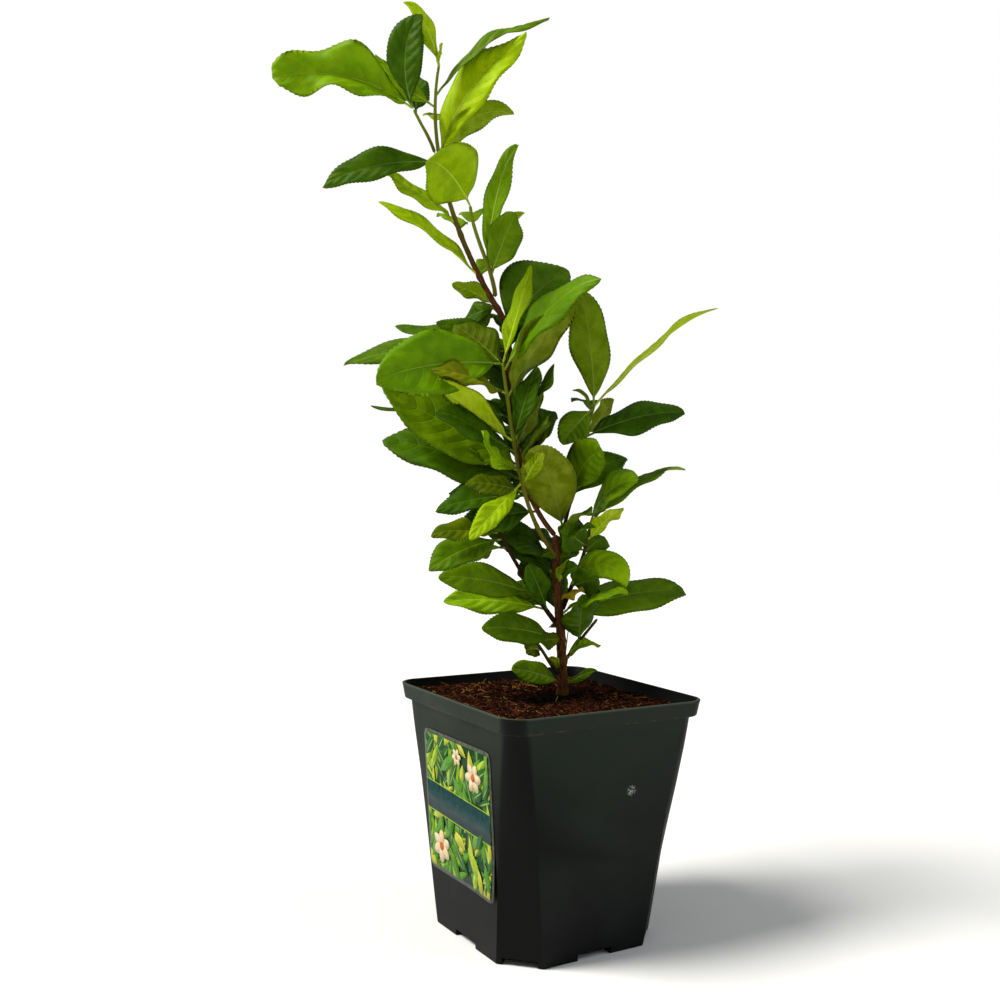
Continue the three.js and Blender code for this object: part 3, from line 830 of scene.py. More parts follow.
@dataclass
class LeafMaker:
    """Builds serrated, quilted leaves as thin closed shells into one bmesh. Sizes are in millimetres."""

    shape: Shape
    random: random.Random
    columns: tuple[float, ...] = (1.0, 0.8, 0.54, 0.27)
    thickness: float = 0.4
    groove: float = -0.25
    ridge: float = 0.45
    petiole_radius: float = 0.8
    tip_radius: float = 0.25
    tooth: float = 0.6
    tooth_lean: float = 1.3
    full_size: float = 8.0
    wave_height: float = 1.4
    sway_height: float = 1.5
    quilt_height: float = 0.85

    def __post_init__(self) -> None:
        """Adds the layers that the materials read."""
        self.around = 4 * len(self.columns) + 2
        self.shade = self.shape.verts.layers.float.new("shade")
        self.blade = self.shape.loops.layers.uv.new("blade")

    def across_share(self, segment: int, rib: float) -> float:
        """How far across the blade a segment stands.

        Args:
            segment: its number round the leaf.
            rib: where the midrib's edge stands.

        Returns:
            A share from 1 at the right margin to -1 at the left one.
        """
        half = [*self.columns, rib]
        top = [*half, *(-share for share in reversed(half))]
        return [*top, *reversed(top[1:-1])][segment]

    def add(self, root: Vector, leaf: Leaf, slots: dict[Age, int]) -> None:
        """Adds one leaf.

        Args:
            root: where its petiole starts, in metres.
            leaf: its form.
            slots: the number of the first of each age's three materials.
        """
        along = leaf.rings()
        places = sphere(self.shape, self.around, along)
        frames = list(leaf.frames(root, along))
        phases = [self.random.uniform(0, 6.28) for _ in range(4)]
        shade = self.random.random()
        for vert, (ring, segment) in places.items():
            share, frame = ring / along, frames[ring]
            point = self.skin(leaf, share, segment, frame, phases)
            if segment in (0, self.around // 2) and leaf.petiole() + 0.08 < share < 0.97 and ring % 2 == 0:
                point += self.tooth_at(leaf, share, segment, frame, point)
            vert.co = frame[0] if ring in (0, along) else point
            vert[self.shade] = shade
        self.paint(places, along, slots[leaf.age])

    def skin(self, leaf: Leaf, share: float, segment: int, frame: Frame, phases: list[float]) -> Vector:
        """A point on the leaf, which is round at its petiole and a thin shell over its blade.

        Args:
            leaf: its form.
            share: how far along it the point is, from 0 to 1.
            segment: the point's number round the leaf.
            frame: the midrib's place there, with the ways ahead, across and out of the upper face.
            phases: where its waves start.

        Returns:
            The point, in metres.
        """
        spot, _, across, upper = frame
        petiole, half = leaf.petiole(), self.half_width(leaf, share)
        blend = ease(petiole * 0.8, petiole + 0.1, share)
        rib = min(0.3, 0.55 * (1.1 - share) / max(half, 0.1))
        side = self.across_share(segment, rib)
        facing = 0 if segment in (0, self.around // 2) else (1 if segment < self.around // 2 else -1)
        round_lift = math.sqrt(max(0.0, 1 - side * side)) * self.petiole_radius
        blade_lift = self.thickness / 2
        if facing and abs(abs(side) - rib) < 1e-9:
            blade_lift += (self.groove if facing > 0 else self.ridge) * (1 - share)
        relief = self.relief(leaf, share, side, half, phases)
        z = facing * lerp(round_lift, blade_lift, blend) + blend * relief
        return spot + (across * (side * half) + upper * z) * MM

    def tooth_at(self, leaf: Leaf, share: float, segment: int, frame: Frame, point: Vector) -> Vector:
        """How far a point of the margin is drawn out into a tooth.

        Args:
            leaf: its form.
            share: how far along it the point is, from 0 to 1.
            segment: the point's number round the leaf.
            frame: the midrib's place there, with the ways ahead, across and out of the upper face.
            point: the point before that, in metres.

        Returns:
            The step, in metres.
        """
        size = min(1.0, self.half_width(leaf, share) / self.full_size)
        tooth = self.tooth * size * (0.7 + 0.5 * noise.noise(point * 150))
        outward = tooth if segment == 0 else -tooth
        return (frame[2] * outward + frame[1] * tooth * self.tooth_lean) * MM

    def half_width(self, leaf: Leaf, share: float) -> float:
        """Half the leaf's width, which is elliptic, from pointed to blunt.

        Args:
            leaf: its form.
            share: how far along it, from 0 to 1.

        Returns:
            The half width, in millimetres.
        """
        petiole = leaf.petiole()
        blade = (share - petiole) / (1 - petiole)
        body = 0.0
        if 0 < blade < 1:
            power = 0.82 if blade < 0.5 else lerp(0.95, 0.5, leaf.blunt)
            body = math.sin(math.pi * blade) ** power
        narrow = lerp(self.petiole_radius, self.tip_radius, ease(0.5, 1.0, share))
        return max(narrow, leaf.width / 2 * body)

    def relief(self, leaf: Leaf, share: float, side: float, half: float, phases: list[float]) -> float:
        """How far the blade stands off its midrib's plane: fold, curled margins, waves and quilting.

        Args:
            leaf: its form.
            share: how far along it, from 0 to 1.
            side: how far across it, from 1 to -1.
            half: half its width there.
            phases: where its waves start.

        Returns:
            The height, in millimetres.
        """
        out = abs(side)
        fold = out * half * math.tan(math.radians(leaf.fold))
        curl = -leaf.curl * half * out ** 2.4 * 0.6
        phase = phases[0] if side > 0 else phases[1]
        size = min(1.0, half / self.full_size)
        wave = leaf.wave * self.wave_height * out ** 2 * math.sin(share * 15 + phase) * size
        sway = leaf.wave * self.sway_height * math.sin(share * 7 + phases[2]) * out
        between = 0.5 - 0.5 * math.cos(2 * math.pi * (share * VEIN_PAIRS - out ** VEIN_BEND * VEIN_SWEEP))
        quilt = self.quilt_height * between * math.sin(math.pi * min(1.0, out * 1.05)) * min(1.0, half / 10)
        return fold + curl + wave + sway + quilt

    def paint(self, places: Places, along: int, first_slot: int) -> None:
        """Gives the new faces their materials and their blade map.

        Args:
            places: the ring and segment of each of the leaf's vertices.
            along: rings along the leaf.
            first_slot: the number of its upper face's material.
        """
        last = self.around - 1
        rib_columns = (len(self.columns), last - len(self.columns))
        for face in {face for vert in places for face in vert.link_faces}:
            spots = [places[vert] for vert in face.verts if places[vert][0] not in (0, along)]
            segments = sorted({segment for _, segment in spots})
            column = last if segments[0] == 0 and segments[-1] == last else segments[0]
            middle = sum(ring for ring, _ in spots) / len(spots) / along
            is_rib = column in rib_columns or middle < 0.07
            face.material_index = first_slot + (2 if is_rib else 0 if column < self.around // 2 else 1)
            for loop in face.loops:
                ring, segment = places[loop.vert]
                side = 0.0 if ring in (0, along) else self.across_share(segment, 0.04)
                loop[self.blade].uv = (ring / along, side / 2 + 0.5)


@dataclass(frozen=True)
class Spray:
    """The leaves of one mass of foliage: those listed and those grown by rule on its stretch of limb.

    grown is how many the rule grows, span the stretch of the limb that carries them, open_side the heading in
    which they have room, and grown_length their mean length in millimetres.
    """

    name: str
    limb: str
    slot: str
    leaves: tuple[Leaf, ...]
    grown: int = 0
    span: Pair = (0.0, 1.0)
    open_side: float = FAR_SIDE
    grown_age: Age = Age.DARK
    grown_length: float = 58.0

    def all_leaves(self) -> Iterator[Leaf]:
        """Gives the set leaves and then the grown ones, each with its own small irregularities.

        Returns:
            Each leaf in turn.
        """
        rng = random.Random(self.name)
        for leaf in self.leaves:
            yield self.varied(leaf, rng)
        for number in range(self.grown):
            share = (number + 0.5) / self.grown
            wander = 25 * math.sin(math.radians(number * GOLDEN_ANGLE))
            length = self.grown_length * rng.uniform(0.8, 1.1)
            rise, width = rng.uniform(5, 40), length * rng.uniform(0.36, 0.44)
            droop, roll = rng.uniform(15, 45), rng.uniform(-15, 15)
            leaf = Leaf(lerp(*self.span, share), self.open_side + wander, rise, length, width, droop, roll,
                        self.grown_age)
            yield self.varied(leaf, rng)

    def varied(self, leaf: Leaf, rng: random.Random) -> Leaf:
        """Gives a leaf its own small irregularities.

        Args:
            leaf: the leaf.
            rng: where the random numbers come from.

        Returns:
            The leaf with a little more or less sweep, twist, hook, curl, waviness and bluntness.
        """
        return replace(leaf, twist=leaf.twist + rng.uniform(-12, 12), sweep=leaf.sweep + rng.uniform(-8, 8),
                       hook=leaf.hook + rng.uniform(-12, 22), curl=leaf.curl * rng.uniform(0.4, 1.8),
                       wave=leaf.wave * rng.uniform(0.6, 1.5), blunt=leaf.blunt + rng.uniform(-0.25, 0.25))

    def build(self, limb: Limb, palette: dict[Age, list[bpy.types.Material]]) -> bpy.types.Object:
        """Makes the spray's leaves as one piece.

        Args:
            limb: the limb that carries them.
            palette: the three materials of each age.

        Returns:
            The leaves' piece.
        """
        shape = bmesh.new()
        leaves = list(self.all_leaves())
        ages = sorted({leaf.age for leaf in leaves}, key=lambda age: age.name)
        maker = LeafMaker(shape, random.Random(self.name + " blades"))
        slots = {age: 3 * number for number, age in enumerate(ages)}
        for leaf in leaves:
            at = min(leaf.at, 0.995)
            root = limb.place(at) + direction(leaf.heading, leaf.rise + leaf.droop / 2) * limb.girth(at) * 0.6
            maker.add(root, leaf, slots)
        materials = [material for age in ages for material in palette[age]]
        return finished(f"{self.name}_leaves", shape, materials, self.slot, (f"{self.name}_foliage",))


# ---------------------------------------------------------------- the bush
def limbs() -> tuple[Limb, ...]:
    """Lists the trunk, leaders, boughs and twigs.

    Returns:
        The limbs, from the ground up.
    """
    return (
        Limb("trunk", (18, 8, 154), (11, 9, 267), (175, 90), (170, 90), (3.5, 2.9), (0, 0.1), flare=1.4,
             knots=(0.22, 0.35, 0.46, 0.6, 0.74, 0.9)),
        Limb("leader_lower", (11, 10, 266), (-11, 44, 414), (130, 45), (165, 85), (1.7, 2.7), (0.1, 0.3),
             knots=(0.22, 0.28, 0.45, 0.62, 0.76, 0.88)),
        Limb("leader_upper", (-11, 44, 414), (-61, 58, 589), (155, 55), (-45, 80), (2.2, 0.9), (0.15, 1.1),
             knots=(0.07, 0.2, 0.37, 0.52, 0.66, 0.8)),
        Limb("front_stem", (11, 8, 252), (-28, 21, 384), (-175, 40), (100, 75), (1.5, 1.2), (0.55, 1.0),
             knots=(0.2, 0.39, 0.49, 0.62, 0.83), slot="green_stem"),
        Limb("right_bough", (13, 9, 258), (38, 5, 358), (10, 70), (-40, 75), (1.4, 1.1), (0.1, 0.8),
             knots=(0.15, 0.29, 0.76), bark=Bark.INNER),
        Limb("right_low_bough", (17, 9, 214), (38, 7, 275), (-15, 70), (-70, 85), (1.7, 1.1), (0.1, 0.6),
             bark=Bark.INNER),
        Limb("left_low_bough", (15, 8, 202), (-31, 19, 271), (160, 50), (165, 60), (1.8, 1.1), (0.1, 0.2),
             bark=Bark.INNER),
        Limb("left_foot_twig", (15, 8, 170), (-5, 10, 195), (180, 40), (175, 45), (1.3, 1.0), (0.3, 0.6),
             bark=Bark.INNER),
        Limb("right_foot_twig", (18, 7, 178), (44, 4, 208), (5, 50), (-15, 50), (1.3, 1.0), (0.2, 0.6),
             bark=Bark.INNER),
        Limb("side_shoot", (-19, 47, 432), (-44, 41, 492), (-130, 60), (-140, 75), (1.6, 1.1), (0.6, 1.1),
             slot="green_stem"),
        Limb("top_left_twig", (-61, 62, 529), (-79, 60, 556), (-180, 70), (-180, 60), (1.2, 1.0), (0.5, 1.1),
             slot="green_stem"),
    )


def sprays() -> tuple[Spray, ...]:
    """Lists the leaves of every mass of foliage.

    Returns:
        The sprays, from the crown's tip down.
    """
    young, fresh, lush, mid, dark, olive = Age.YOUNG, Age.FRESH, Age.LUSH, Age.MID, Age.DARK, Age.OLIVE
    new, old = "young_leaf", "mature_leaf"
    return (
        Spray("crown_tip", "leader_upper", new, (
            Leaf(0.99, 149, 62, 52, 12, 40, -60, young), Leaf(0.88, -30, 35, 98, 17, 45, 35, mid),
            Leaf(0.84, 160, 14, 66, 24, 40, -75, fresh), Leaf(0.99, -60, 80, 16, 4, 0, 0, young, fold=50)),
            1, (0.78, 0.84), 62, Age.FRESH, 46),
        Spray("top_left", "top_left_twig", new, (
            Leaf(0.99, 155, 9, 100, 33, 54, -80, fresh, fold=36, wave=5, blunt=1.3),
            Leaf(0.99, 145, 55, 46, 11, 10, -50, fresh),
            Leaf(0.99, -31, 88, 68, 26, 50, 80, dark, blunt=0.8), Leaf(0.89, 62, 45, 50, 20, 10, 10, dark))),
        Spray("upper_right", "leader_upper", new, (
            Leaf(0.66, -40, 53, 104, 36, 45, 65, young, fold=4, curl=0.1),
            Leaf(0.63, -30, 36, 70, 20, 90, -40, lush)),
            1, (0.6, 0.64), grown_age=Age.FRESH),
        Spray("upper_left", "leader_upper", old, (Leaf(0.64, 152, -13, 84, 23, 30, -75, dark),)),
        Spray("middle_left", "leader_upper", new, (Leaf(0.41, 150, 34, 60, 26, 15, -30, young),),
              1, (0.36, 0.4), 70, Age.FRESH),
        Spray("slender_left", "leader_upper", new, (Leaf(0.2, 165, 35, 86, 22, 10, -38, young, fold=20),),
              1, (0.18, 0.22), 45, Age.FRESH),
        Spray("leader_knee", "leader_upper", old, (
            Leaf(0.08, 140, 25, 34, 16, 20, 40, fresh), Leaf(0.08, 90, -25, 40, 24, 20, -100, mid),
            Leaf(0.07, 100, -10, 38, 20, 20, -60, dark))),
        Spray("side_shoot", "side_shoot", new, (
            Leaf(0.38, 15, 73, 94, 17, 28, 20, fresh, fold=24), Leaf(0.24, -92, 48, 50, 28, 20, 115, mid),
            Leaf(0.28, 10, 58, 56, 16, 20, -75, fresh))),
        Spray("broad_front", "side_shoot", new, (Leaf(0.98, -148, 15, 66, 44, 55, -125, young, fold=22),),
              1, (0.75, 0.85), 60, Age.FRESH, 46),
        Spray("arching_back", "leader_lower", old, (Leaf(0.94, 8, 42, 78, 56, 40, 60, dark),),
              1, (0.95, 0.97), 60, Age.DARK, 62),
        Spray("far_left", "leader_lower", old, (
            Leaf(0.87, 150, -6, 116, 28, 30, -45, mid), Leaf(0.9, 135, 10, 84, 26, 0, -30, dark))),
        Spray("back", "leader_lower", old, (
            Leaf(0.72, -5, 62, 66, 28, 20, -20, dark), Leaf(0.66, 165, 40, 54, 28, 20, -40, dark),
            Leaf(0.8, 160, 30, 60, 30, 30, -50, dark)), 6, (0.56, 0.9), 62, Age.DARK, 68),
        Spray("left_middle", "leader_lower", old, (
            Leaf(0.34, 156, 28, 112, 48, 12, -55, mid), Leaf(0.52, 138, 8, 106, 20, 20, -10, dark),
            Leaf(0.42, 10, 42, 47, 24, 20, 25, dark), Leaf(0.43, 50, 60, 42, 16, 0, -120, mid),
            Leaf(0.5, 182, 27, 68, 34, 10, -50, dark), Leaf(0.58, 140, 12, 52, 30, 10, -40, dark)),
            4, (0.34, 0.54), 62, Age.DARK, 60),
        Spray("left_lower", "leader_lower", old, (
            Leaf(0.29, 150, 15, 103, 48, 20, -45, dark, blunt=1), Leaf(0.27, 125, 15, 74, 38, 20, -40, dark)),
            1, (0.3, 0.34), 50, Age.DARK, 62),
        Spray("left_hem", "leader_lower", old, (
            Leaf(0.22, 175, -8, 72, 28, 20, -35, dark), Leaf(0.23, 130, 0, 60, 28, 20, -40, dark),
            Leaf(0.14, 170, -12, 58, 28, 20, -45, dark), Leaf(0.36, 150, 22, 52, 30, 20, -35, dark)),
            3, (0.1, 0.3), 62, Age.DARK, 52),
        Spray("front_top", "front_stem", old, (
            Leaf(0.95, -65, 40, 96, 34, 35, 60, lush, hook=20, blunt=0.1),
            Leaf(0.82, -30, 57, 82, 40, 20, -35, olive),
            Leaf(0.84, -178, 12, 60, 25, 25, -38, Age.AMBER), Leaf(0.98, 130, 38, 46, 30, 20, -50, olive))),
        Spray("broad_left", "front_stem", old, (
            Leaf(0.99, 176, -10, 94, 44, 25, -75, lush, fold=16),
            Leaf(0.99, -25, 75, 70, 18, 0, 35, young, blunt=0.9))),
        Spray("front_left", "front_stem", new, (
            Leaf(0.62, 170, 33, 72, 27, 0, 20, young, fold=24), Leaf(0.58, 30, 55, 58, 24, 0, -95, olive),
            Leaf(0.62, 5, 60, 64, 16, 0, -10, mid, sweep=10), Leaf(0.63, -20, 74, 52, 22, 0, 40, dark),
            Leaf(0.45, -40, 70, 46, 22, 0, 30, olive), Leaf(0.57, 166, 27, 62, 29, 8, -50, dark))),
        Spray("front_middle", "front_stem", new, (
            Leaf(0.47, -82, 52, 44, 30, 20, -150, olive), Leaf(0.38, 165, 8, 42, 20, 20, -45, olive),
            Leaf(0.49, -170, 38, 44, 16, -60, -60, fresh))),
        Spray("front_lower", "front_stem", new, (
            Leaf(0.43, -163, -36, 62, 16, 0, -40, young), Leaf(0.42, -95, 40, 34, 11, 0, -60, young))),
        Spray("right_front", "right_bough", old, (Leaf(0.12, -150, 50, 76, 36, 30, 30, olive),)),
        Spray("right_middle", "right_bough", old, (
            Leaf(0.36, -95, 35, 56, 30, 70, 115, mid), Leaf(0.34, 0, 32, 58, 28, 40, 35, dark))),
        Spray("right_bough", "right_bough", old, (
            Leaf(0.77, -15, 15, 78, 28, 25, 45, dark, blunt=0.9), Leaf(0.97, 180, -45, 36, 22, 20, -60, mid),
            Leaf(0.78, 10, 45, 38, 18, 0, -80, olive))),
        Spray("right_top", "right_bough", old, (
            Leaf(0.98, 180, 80, 84, 30, 20, 30, mid), Leaf(0.98, -30, 41, 112, 17, 20, -15, fresh),
            Leaf(0.97, 150, 38, 20, 6, 60, -35, mid)), 1, (0.93, 0.96), 70, Age.MID, 50),
        Spray("right_low", "right_low_bough", new, (
            Leaf(0.98, -80, 35, 58, 30, 70, 60, fresh), Leaf(0.98, -5, 27, 92, 18, 48, 5, mid),
            Leaf(0.8, -70, 42, 38, 18, 10, -15, young), Leaf(0.74, -160, 20, 34, 26, 10, -100, dark),
            Leaf(0.65, 20, 25, 28, 22, 10, 30, dark), Leaf(0.7, 178, -5, 35, 12, 20, -60, mid))),
        Spray("hanging_right", "right_low_bough", new, (
            Leaf(0.26, -55, 2, 56, 23, 150, 55, fresh), Leaf(0.28, -85, 12, 30, 24, 20, 120, dark))),
        Spray("low_right", "trunk", old, (
            Leaf(0.48, -10, 9.5, 100, 34, 30, 35, mid, blunt=1.2), Leaf(0.5, -60, 20, 54, 16, 40, 25, fresh)),
            1, (0.48, 0.52), 70, Age.DARK, 58),
        Spray("low_left", "trunk", old, (Leaf(0.35, 175, 10, 60, 26, 20, -50, mid),)),
        Spray("inner_left", "trunk", old, (
            Leaf(0.74, 130, 36, 78, 34, 10, -30, dark), Leaf(0.6, 105, 35, 44, 22, 10, -15, dark),
            Leaf(0.92, -60, 48, 38, 24, 20, 0, dark), Leaf(0.97, -50, 18, 28, 13, 20, 20, mid),
            Leaf(0.84, 140, 20, 46, 24, 20, -20, dark), Leaf(0.69, -95, 55, 22, 11, 0, 5, fresh),
            Leaf(0.59, -70, 20, 22, 9, 30, 45, Age.TURNING), Leaf(0.76, -90, 15, 24, 12, 0, 65, dark)),
            4, (0.5, 0.95), 62, Age.DARK, 44),
        Spray("foot", "trunk", old, (
            Leaf(0.08, 175, 17, 40, 18, 20, -60, mid, blunt=0.9), Leaf(0.06, -55, 28, 27, 8, 20, 60, lush),
            Leaf(0.16, 175, 40, 14, 8, 10, 40, fresh),
            Leaf(0.12, -30, 84, 44, 3.6, 0, 0, fresh, fold=0, wave=0),
            Leaf(0.07, 150, -68, 14, 2.2, 0, 0, fresh, fold=0, wave=0))),
        Spray("right_foot", "right_foot_twig", old, (
            Leaf(0.45, -120, 58, 42, 30, 10, -150, dark), Leaf(0.02, -12, 18, 32, 9, 90, 30, fresh)),
            1, (0.5, 0.6), 100, Age.DARK, 30),
        Spray("left_foot", "left_foot_twig", old, (
            Leaf(0.95, -31, 4, 16, 14, 10, 50, olive), Leaf(0.7, 95, -8, 18, 12, 20, 80, olive))),
        Spray("left_bough", "left_low_bough", old, (
            Leaf(0.96, -175, 1, 55, 18, 10, -40, olive), Leaf(0.9, 180, -20, 60, 28, 30, -35, mid),
            Leaf(0.82, 120, -20, 36, 18, 30, 10, olive))),
        Spray("low_left_front", "left_low_bough", old, (
            Leaf(0.35, 170, 11, 72, 26, 20, -55, mid), Leaf(0.2, 140, 2, 72, 20, 22, -60, fresh, wave=2),
            Leaf(0.18, -155, 52, 42, 18, 10, -115, dark), Leaf(0.2, 105, 25, 34, 20, 20, -30, mid),
            Leaf(0.32, 110, 55, 28, 12, 0, -5, dark))),
    )


@dataclass
class Bush:
    """The tea bush: its limbs in bark and its leaves by mass."""

    limbs: tuple[Limb, ...] = field(default_factory=limbs)
    sprays: tuple[Spray, ...] = field(default_factory=sprays)

    def build(self) -> None:
        """Makes every limb and every spray."""
        barks = {bark: bark.value.material() for bark in Bark}
        for limb in self.limbs:
            limb.build(barks[limb.bark])
        palette = {age: age.value.materials() for age in Age}
        carriers = {limb.name: limb for limb in self.limbs}
        for spray in self.sprays:
            spray.build(carriers[spray.limb], palette)


# ---------------------------------------------------------------- pot
@dataclass
class Pot:
    """A square nursery pot with a rolled rim band, cut corners and drainage notches. Millimetres."""

    height: float = 162.0
    rim_side: float = 154.0
    band_side: float = 151.0
    shoulder_side: float = 144.3
    foot_side: float = 121.0
    band: float = 10.5
    wall: float = 1.4
    floor: float = 3.0
    rim_corner: float = 14.0
    foot_corner: float = 21.5
    corner_steps: int = 12
    notch_height: float = 4.5
    notch_depth: float = 9.0
    notch_widths: Pair = (26.0, 23.0)
    hole_reach: float = 26.0
    hole_radius: float = 5.0
    sharp: float = 35.0
    finish: PotFinish = PotFinish()

    def side(self, z: float) -> float:
        """The wall's outer side at a height."""
        return lerp(self.foot_side, self.shoulder_side, min(1.0, z / self.shoulder()))

    def shoulder(self) -> float:
        """The height at which the rim band starts."""
        return self.height - self.band

    def roundness(self, z: float) -> float:
        """How round the corners are at a height, from flat at 0 to round at 1."""
        return ease(0.25, 1.0, z / self.shoulder())

    def corner_cut(self, z: float) -> float:
        """How far the corners are cut back along each side at a height."""
        return lerp(self.foot_corner, self.rim_corner, held(z / self.shoulder()))

    def inner_reach(self, angle: float, z: float) -> float:
        """How far the inside of the wall is from the pot's middle.

        Args:
            angle: the angle in plan, in radians.
            z: the height.

        Returns:
            The distance, in millimetres.
        """
        flare = (self.band_side - self.shoulder_side) * ease(-1.0, 2.5, z - self.shoulder())
        half, cut = (self.side(z) + flare) / 2 - self.wall, self.corner_cut(z)
        x, y = abs(math.cos(angle)), abs(math.sin(angle))
        straight = half / max(x, y)
        chord = (2 * half - cut) / (x + y)
        if straight < chord:
            return straight
        lean = (half - cut) * (x + y)
        arc = lean + math.sqrt(max(0.0, lean * lean - 2 * (half - cut) ** 2 + cut * cut))
        return lerp(chord, arc, self.roundness(z))

    def outline(self, step: int, side: float, z: float) -> Vector:
        """Point number `step` of the plan outline with that side at that height.

        Args:
            step: its number, with corner_steps + 1 to each quarter turn.
            side: the outline's side.
            z: the height, which sets how far and how roundly the corners are cut.

        Returns:
            The point, at that height, in millimetres.
        """
        cut = self.corner_cut(z)
        quarter, along = divmod(step, self.corner_steps + 1)
        along /= self.corner_steps
        turn = along * math.pi / 2
        half = side / 2
        chord = Vector((half - cut * along, half - cut * (1 - along)))
        arc = Vector((half - cut + cut * math.cos(turn), half - cut + cut * math.sin(turn)))
        spot = chord.lerp(arc, self.roundness(z))
        spot.rotate(Matrix.Rotation(math.pi / 2 * quarter, 2))
        return spot.to_3d() + Vector((0, 0, z))

    def profile(self) -> list[Pair]:
        """The section through the pot's wall.

        Returns:
            The [side, z] rings from the underside, up the outside, over the lip and down the inside.
        """
        shoulder, lean = self.shoulder(), self.wall * 2
        outside = [(self.foot_side - 1.6, 0.0), (self.foot_side - 0.3, 0.4), (self.foot_side + 0.1, 1.4)]
        outside += [(self.side(z), z) for z in (12, 30, 55, 80, 105, 130, 144)]
        outside += [(self.shoulder_side - 0.1, shoulder - 0.7), (self.shoulder_side + 0.5, shoulder - 0.1),
                    (self.band_side - 0.8, shoulder), (self.band_side, shoulder + 0.5)]
        lip = [(self.rim_side - 0.5, self.height - 1.6), (self.rim_side, self.height - 1.0),
               (self.rim_side - 0.1, self.height - 0.3), (self.rim_side - 0.7, self.height)]
        inside = [(self.rim_side - lean, self.height), (self.rim_side - lean - 0.5, self.height - 0.5),
                  (self.band_side - lean, shoulder + 2.5), (self.shoulder_side - lean, shoulder - 1)]
        inside += [(self.side(z) - lean, z) for z in (130, 105, 80, 55, 30, 12, self.floor)]
        return outside + lip + inside

    def build(self) -> bpy.types.Object:
        """Makes the pot as one closed shell with its notches and drainage holes cut.

        Returns:
            The pot's piece.
        """
        shape = bmesh.new()
        steps = 4 * (self.corner_steps + 1)
        number = shape.verts.layers.int.new("step")
        ring = bmesh.ops.create_circle(shape, cap_ends=True, segments=steps, radius=1.0)["verts"]
        for step, vert in enumerate(ring):
            vert[number] = step
        edges = list(shape.edges)
        for at, (side, z) in enumerate(self.profile()):
            if at:
                ring, edges = extruded(shape, edges)
            for vert in ring:
                vert.co = self.outline(vert[number], side, z) * MM
        bmesh.ops.contextual_create(shape, geom=edges)
        piece = finished("nursery_pot", shape, [self.finish.material()], "pot_plastic", ("pot",), self.sharp)
        self.cut(piece)
        return piece

    def cutter(self) -> Shape:
        """Makes the blocks and rods that the drainage notches and holes are cut with.

        Returns:
            Their shape, in metres.
        """
        shape = bmesh.new()
        corner_reach = (self.foot_side - self.foot_corner) / math.sqrt(2)
        notches = ((self.foot_side / 2, self.notch_widths[0], 0.0),
                   (corner_reach, self.notch_widths[1], math.pi / 4))
        for quarter in range(4):
            heading = math.pi / 2 * quarter
            for reach, width, turn in notches:
                size = Matrix.Diagonal((self.notch_depth * 2, width, self.notch_height * 2, 1))
                place = Matrix.Rotation(heading + turn, 4, "Z") @ Matrix.Translation((reach, 0, 0))
                bmesh.ops.create_cube(shape, size=1.0, matrix=Matrix.Scale(MM, 4) @ place @ size)
            hole = Matrix.Rotation(heading, 4, "Z") @ Matrix.Translation((self.hole_reach, 0, 0))
            bmesh.ops.create_cone(shape, cap_ends=True, segments=24, radius1=self.hole_radius,
                                  radius2=self.hole_radius, depth=20, matrix=Matrix.Scale(MM, 4) @ hole)
        return shape

    def cut(self, piece: bpy.types.Object) -> None:
        """Cuts the drainage notches and holes out of the pot's foot.

        Args:
            piece: the pot, whose mesh is changed.
        """
        tool = placed("pot_cutter", as_mesh("pot_cutter", self.cutter()))
        change = piece.modifiers.new("notches", "BOOLEAN")
        change.object, change.operation, change.solver = tool, "DIFFERENCE", "EXACT"
        graph = bpy.context.evaluated_depsgraph_get()
        whole = piece.data
        piece.data = bpy.data.meshes.new_from_object(piece.evaluated_get(graph))
        piece.modifiers.clear()
        piece.data.set_sharp_from_angle(angle=math.radians(self.sharp))
        bpy.data.objects.remove(tool)
        bpy.data.meshes.remove(whole)


# ---------------------------------------------------------------- label
class Ink(Enum):
    """The films and inks of the label, in the order of its materials."""

    EDGE = PrintFinish("label_edge", "3c4038", "565a4e", 0.3)
    GROUND = PrintFinish("label_ground", "0c2c14", "164018")
    BAND = PrintFinish("label_band", "102c2c", "1a3e40")
    LIME = PrintFinish("ink_lime", "84a81c", "a2b834")
    LEAF = PrintFinish("ink_leaf", "447a1c", "588e26")
    DEEP = PrintFinish("ink_deep", "205024", "2a6030")
    YELLOW = PrintFinish("ink_yellow", "a8ae2c", "bab648")
    PETAL = PrintFinish("ink_petal", "d0c6a4", "ceb088")
    HEART = PrintFinish("ink_heart", "c06818", "a04414")


